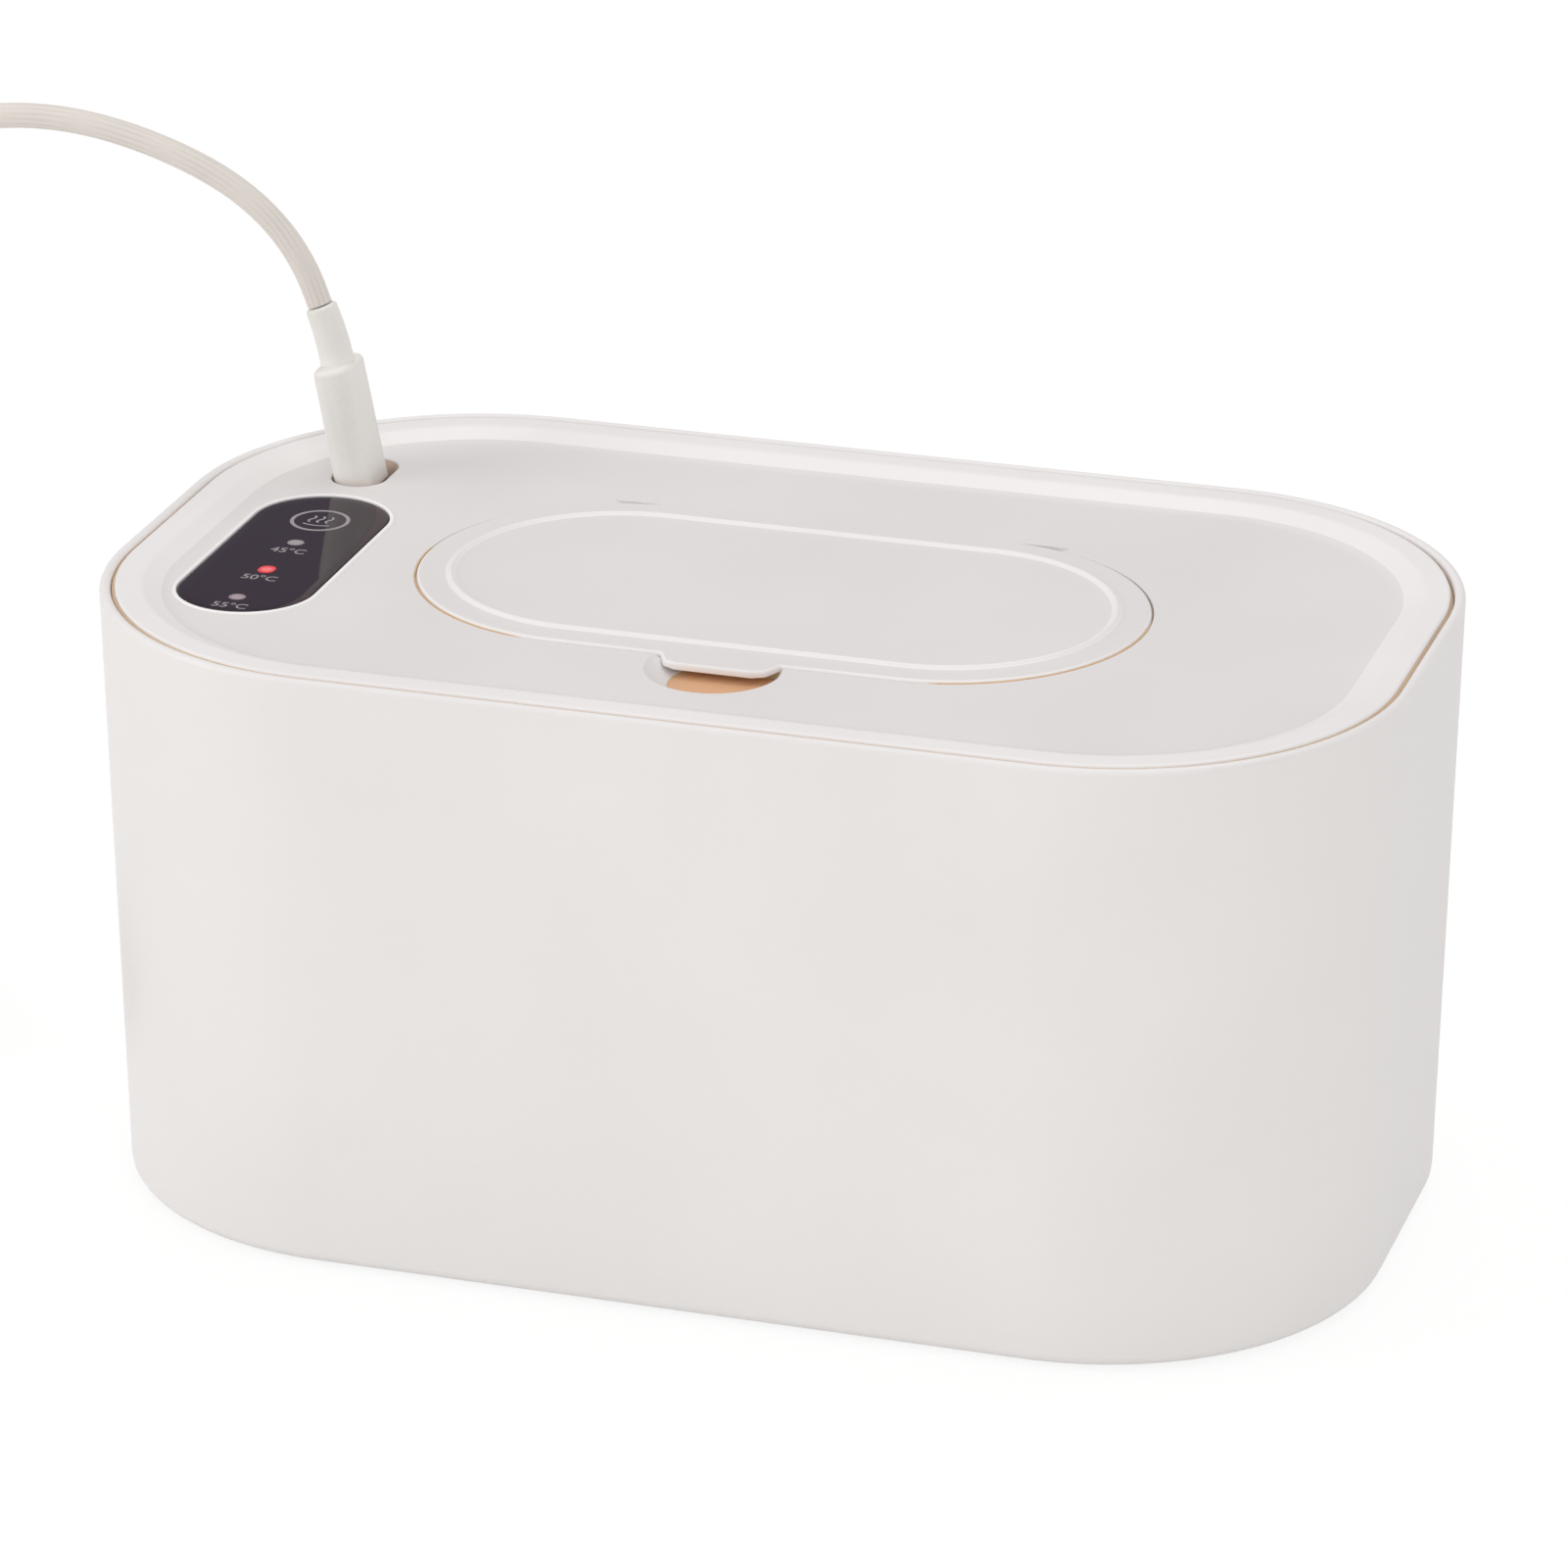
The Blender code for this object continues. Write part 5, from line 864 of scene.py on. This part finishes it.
lamp_places = {"45": -2.3 * mm, "50": -15.4 * mm, "55": -28.6 * mm}
letter_height, label_x, label_below = 2.9 * mm, -82.4 * mm, 4.0 * mm
for number, y in lamp_places.items():
    text = bpy.data.curves.new("temperature_" + number, "FONT")
    text.body = number + "°C"
    text.size = letter_height
    text.align_x, text.align_y = "CENTER", "CENTER"
    text.offset = 0.03 * mm
    words = bpy.data.objects.new("temperature_" + number, text)
    bpy.context.scene.collection.objects.link(words)
    graph = bpy.context.evaluated_depsgraph_get()
    mesh = bpy.data.meshes.new_from_object(words.evaluated_get(graph))
    bpy.data.objects.remove(words, do_unlink=True)
    mesh.transform(Matrix.Translation((label_x, y - label_below, mark_z)))
    mesh.materials.clear()
    mesh.materials.append(ink)
    label = bpy.data.objects.new("temperature_label_" + number, mesh)
    bpy.context.scene.collection.objects.link(label)
    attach(label, "lid")

# Lamps seen through the lens: three round windows, the middle one lit red with a paler heart, the
# others unlit and greyish. Under them sit clear epoxy lamps in a black shield.
window_x, window_radius, lit_length = -82.6 * mm, 1.3 * mm, 1.7 * mm


def window(name, y, edge, heart, glow):
    """A round window whose tone runs from its heart to its edge by the distance from its middle."""
    finish, tree, shader = new_finish(name + "_window", edge, 0.3)
    position = add_node(tree, "ShaderNodeTexCoord")
    away = add_node(
        tree,
        "ShaderNodeVectorMath",
        {"operation": "DISTANCE", 1: (window_x, y, mark_z)},
        {0: position.outputs["Object"]},
    )
    tone = add_node(
        tree,
        "ShaderNodeMapRange",
        {"From Min": 0.5 * mm, "From Max": 1.5 * mm, "interpolation_type": "SMOOTHSTEP"},
        {"Value": away.outputs[1]},
    )
    settings = {"data_type": "RGBA", 6: linear(heart), 7: linear(edge)}
    colour = add_node(tree, "ShaderNodeMix", settings, {0: tone.outputs[0]})
    join_shader(tree, shader, Base_Color=colour.outputs[2])
    if glow:
        join_shader(tree, shader, Emission_Color=colour.outputs[2])
        shader.inputs["Emission Strength"].default_value = glow
    disc = ringed(
        name + "_window",
        1.4 * mm,
        lit_length if glow else window_radius,
        window_radius,
        [(0, mark_z - 0.01 * mm, 0), (0, mark_z, 0), (0.3 * mm, mark_z, 0)],
        finish,
        place=(window_x, y),
        steps=8,
    )
    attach(disc, "lid")


window("low_lamp", lamp_places["45"], "8F868A", "A39A9E", 0)
window("middle_lamp", lamp_places["50"], "C8081C", "E46A6A", 0.28)
window("high_lamp", lamp_places["55"], "8E7C84", "AA979F", 0)
dark_plastic = moulded("black_abs", "242325", "1B1A1C", 0.55, 0.5 * mm, 0.02 * mm)
dress(dark_plastic, "light_shield", "temperature_sensor", "control_chip", "socket_tongue")
lamp_grey, tree, shader = new_finish("clear_epoxy_lamp", "B5AEB0", 0.2, Coat_Weight=0.5)
dress(lamp_grey, "led_low", "led_high")
lamp_red, tree, shader = new_finish("lit_red_lamp", "F03040", 0.3, Emission_Strength=1.0)
shader.inputs["Emission Color"].default_value = linear("F03040")
dress(lamp_red, "led_middle")

# Tray: the lid's lower moulding, screwed up into the shell; matt off-white with a coarser grain,
# because nobody sees it while the lid is on.
tray_plastic = moulded("matt_abs_tray", "E4E1DE", "DBD8D4", 0.55, 0.7 * mm, 0.03 * mm)
dress(tray_plastic, "lid_tray")

# Warming plate: rolled aluminium sheet with the fine straight lines that rolling leaves, and an
# amber film with the heater's track bonded above it.
along_x, greys = (0.03, 1, 1), ("BDBFC0", "D6D8D9")
plate_metal = worked_metal(
    "rolled_aluminium", "C9CBCC", 0.35, 0.5 * mm, 4.0, along_x, (0.25, 0.5), 0.01 * mm, greys
)
dress(plate_metal, "warming_plate")
film = moulded("amber_polyimide_film", "B8732C", "A5621F", 0.35, 3 * mm, 0.02 * mm)
dress(film, "heating_film")

# Screws: bright zinc-plated steel with slightly uneven plating. They hold the tray, the warming
# plate, the control board and the socket.
zinc = worked_metal("bright_zinc", "B9BBBD", 0.32, 0.8 * mm, 3.0, (1, 1, 1), (0.22, 0.45))
dress(zinc, *[name for name in nodes if "_screw_" in name])

# Electronics: green solder resist with its tracks showing as a faint lighter pattern, a pale
# ceramic fuse, a copper touch pad, and wires in coloured insulation.
resist, tree, shader = new_finish("green_solder_resist", "1F5A3C", 0.4, Coat_Weight=0.3)
track_spacing, stain_size = 6 * mm, 1.5 * mm
on_object = {"Vector": add_node(tree, "ShaderNodeTexCoord").outputs["Object"]}
greens = {"Color1": linear("1F5A3C"), "Color2": linear("1B5236"), "Mortar": linear("2F7350")}
settings = {"Scale": 1 / track_spacing, **greens, "Mortar Size": 0.03}
tracks = add_node(tree, "ShaderNodeTexBrick", settings, on_object)
join_shader(tree, shader, Base_Color=tracks.outputs[0])
dress(resist, "control_board", "socket_board")
ceramic = moulded("pale_ceramic", "D8D4C4", "CCC7B5", 0.35, 0.5 * mm, 0.01 * mm)
dress(ceramic, "thermal_fuse")
copper, tree, shader = new_finish("copper_foil", "B87333", 0.35, Metallic=1.0)
on_object = {"Vector": add_node(tree, "ShaderNodeTexCoord").outputs["Object"]}
stain = add_node(tree, "ShaderNodeTexNoise", {"Scale": 1 / stain_size}, on_object)
settings = {"data_type": "RGBA", 6: linear("A8652B"), 7: linear("C9844A")}
colour = add_node(tree, "ShaderNodeMix", settings, {0: stain.outputs[0]})
join_shader(tree, shader, Base_Color=colour.outputs[2])
dress(copper, "touch_pad")
for name, light, shade in [
    ("film_lead_left", "B8382F", "A82F28"),
    ("film_lead_right", "2E2E30", "242426"),
    ("sensor_lead", "E8E4DC", "DDD8CF"),
    ("link_lead", "3A3A3D", "303033"),
]:
    dress(moulded("pvc_" + name, light, shade, 0.4, 0.8 * mm, 0.01 * mm), name)

# Studio: a seamless white floor that keeps a faint shadow, a pale world, and three large soft
# lamps, the strongest from the front and the left.
floor_mesh = bpy.data.meshes.new("floor")
floor_mesh.from_pydata([(-4, -4, 0), (4, -4, 0), (4, 4, 0), (-4, 4, 0)], [], [(0, 1, 2, 3)])
floor = bpy.data.objects.new("floor", floor_mesh)
bpy.context.scene.collection.objects.link(floor)

# Seen directly or in a glossy or clear surface, the paper is mostly plain white; the rest of it
# takes the light as paper does and keeps the shadow.
paper, tree, shader = new_finish("white_paper", "F4F3F1", 0.9)
plain_white_share, paper_white = 0.8, 1.06
seen = add_node(tree, "ShaderNodeLightPath")
rays = seen.outputs["Is Camera Ray"]
for kind in ("Is Glossy Ray", "Is Transmission Ray"):
    links = {0: rays, 1: seen.outputs[kind]}
    rays = add_node(tree, "ShaderNodeMath", {"operation": "MAXIMUM"}, links).outputs[0]
settings = {"operation": "MULTIPLY", 1: plain_white_share}
part_white = add_node(tree, "ShaderNodeMath", settings, {0: rays})
white = add_node(tree, "ShaderNodeEmission", {"Color": (1, 1, 1, 1), "Strength": paper_white})
links = {0: part_white.outputs[0], 1: shader.outputs[0], 2: white.outputs[0]}
mixed = add_node(tree, "ShaderNodeMixShader", {}, links)
tree.links.new(mixed.outputs[0], tree.nodes["Material Output"].inputs["Surface"])
floor_mesh.materials.append(paper)

# A card beyond the object, seen only in glossy surfaces: the lens mirrors its grey and its warm
# part.
card_points = [(x, 0.95, z) for z in (0.30, 0.66) for x in (-0.70, -0.435, -0.22)]
card_mesh = bpy.data.meshes.new("card")
card_mesh.from_pydata(card_points, [], [(0, 1, 4, 3), (1, 2, 5, 4)])
card = bpy.data.objects.new("card", card_mesh)
bpy.context.scene.collection.objects.link(card)
card.visible_camera = card.visible_diffuse = False
card.visible_shadow = card.visible_transmission = False
for name, colour in (("grey_card", (0.34, 0.33, 0.38, 1)), ("warm_card", (0.80, 0.68, 0.66, 1))):
    finish, tree, shader = new_finish(name, "808080", 0.9)
    glow = add_node(tree, "ShaderNodeEmission", {"Color": colour})
    tree.links.new(glow.outputs[0], tree.nodes["Material Output"].inputs["Surface"])
    card_mesh.materials.append(finish)
card_mesh.polygons[1].material_index = 1

world = bpy.data.worlds.new("Studio")
bpy.context.scene.world = world
world.use_nodes = True
tree = world.node_tree
back = tree.nodes["Background"]
back.inputs["Color"].default_value = (1.0, 0.99, 0.99, 1)
seen = add_node(tree, "ShaderNodeLightPath")
links = {0: seen.outputs["Is Camera Ray"], 1: seen.outputs["Is Transmission Ray"]}
direct = add_node(tree, "ShaderNodeMath", {"operation": "MAXIMUM"}, links)
settings = {"To Min": 0.57, "To Max": 1.0}
level = add_node(tree, "ShaderNodeMapRange", settings, {"Value": direct.outputs[0]})
tree.links.new(level.outputs[0], back.inputs["Strength"])

for name, place, size, power in [
    ("key", (-1.8, -0.8, 0.9), 1.4, 12.8),
    ("fill", (0.95, -1.5, 0.9), 1.2, 7.5),
    ("top", (0.1, 0.5, 1.7), 1.4, 7.9),
]:
    lamp = bpy.data.lights.new(name, "AREA")
    lamp.shape = "DISK"
    lamp.size = size
    lamp.energy = power
    lamp.color = (1.0, 0.985, 0.98)
    stand = bpy.data.objects.new(name, lamp)
    bpy.context.scene.collection.objects.link(stand)
    stand.location = place
    aim = Vector((0, 0, 0.06)) - Vector(place)
    stand.rotation_euler = aim.to_track_quat("-Z", "Y").to_euler()

bpy.context.scene.view_settings.view_transform = "Standard"
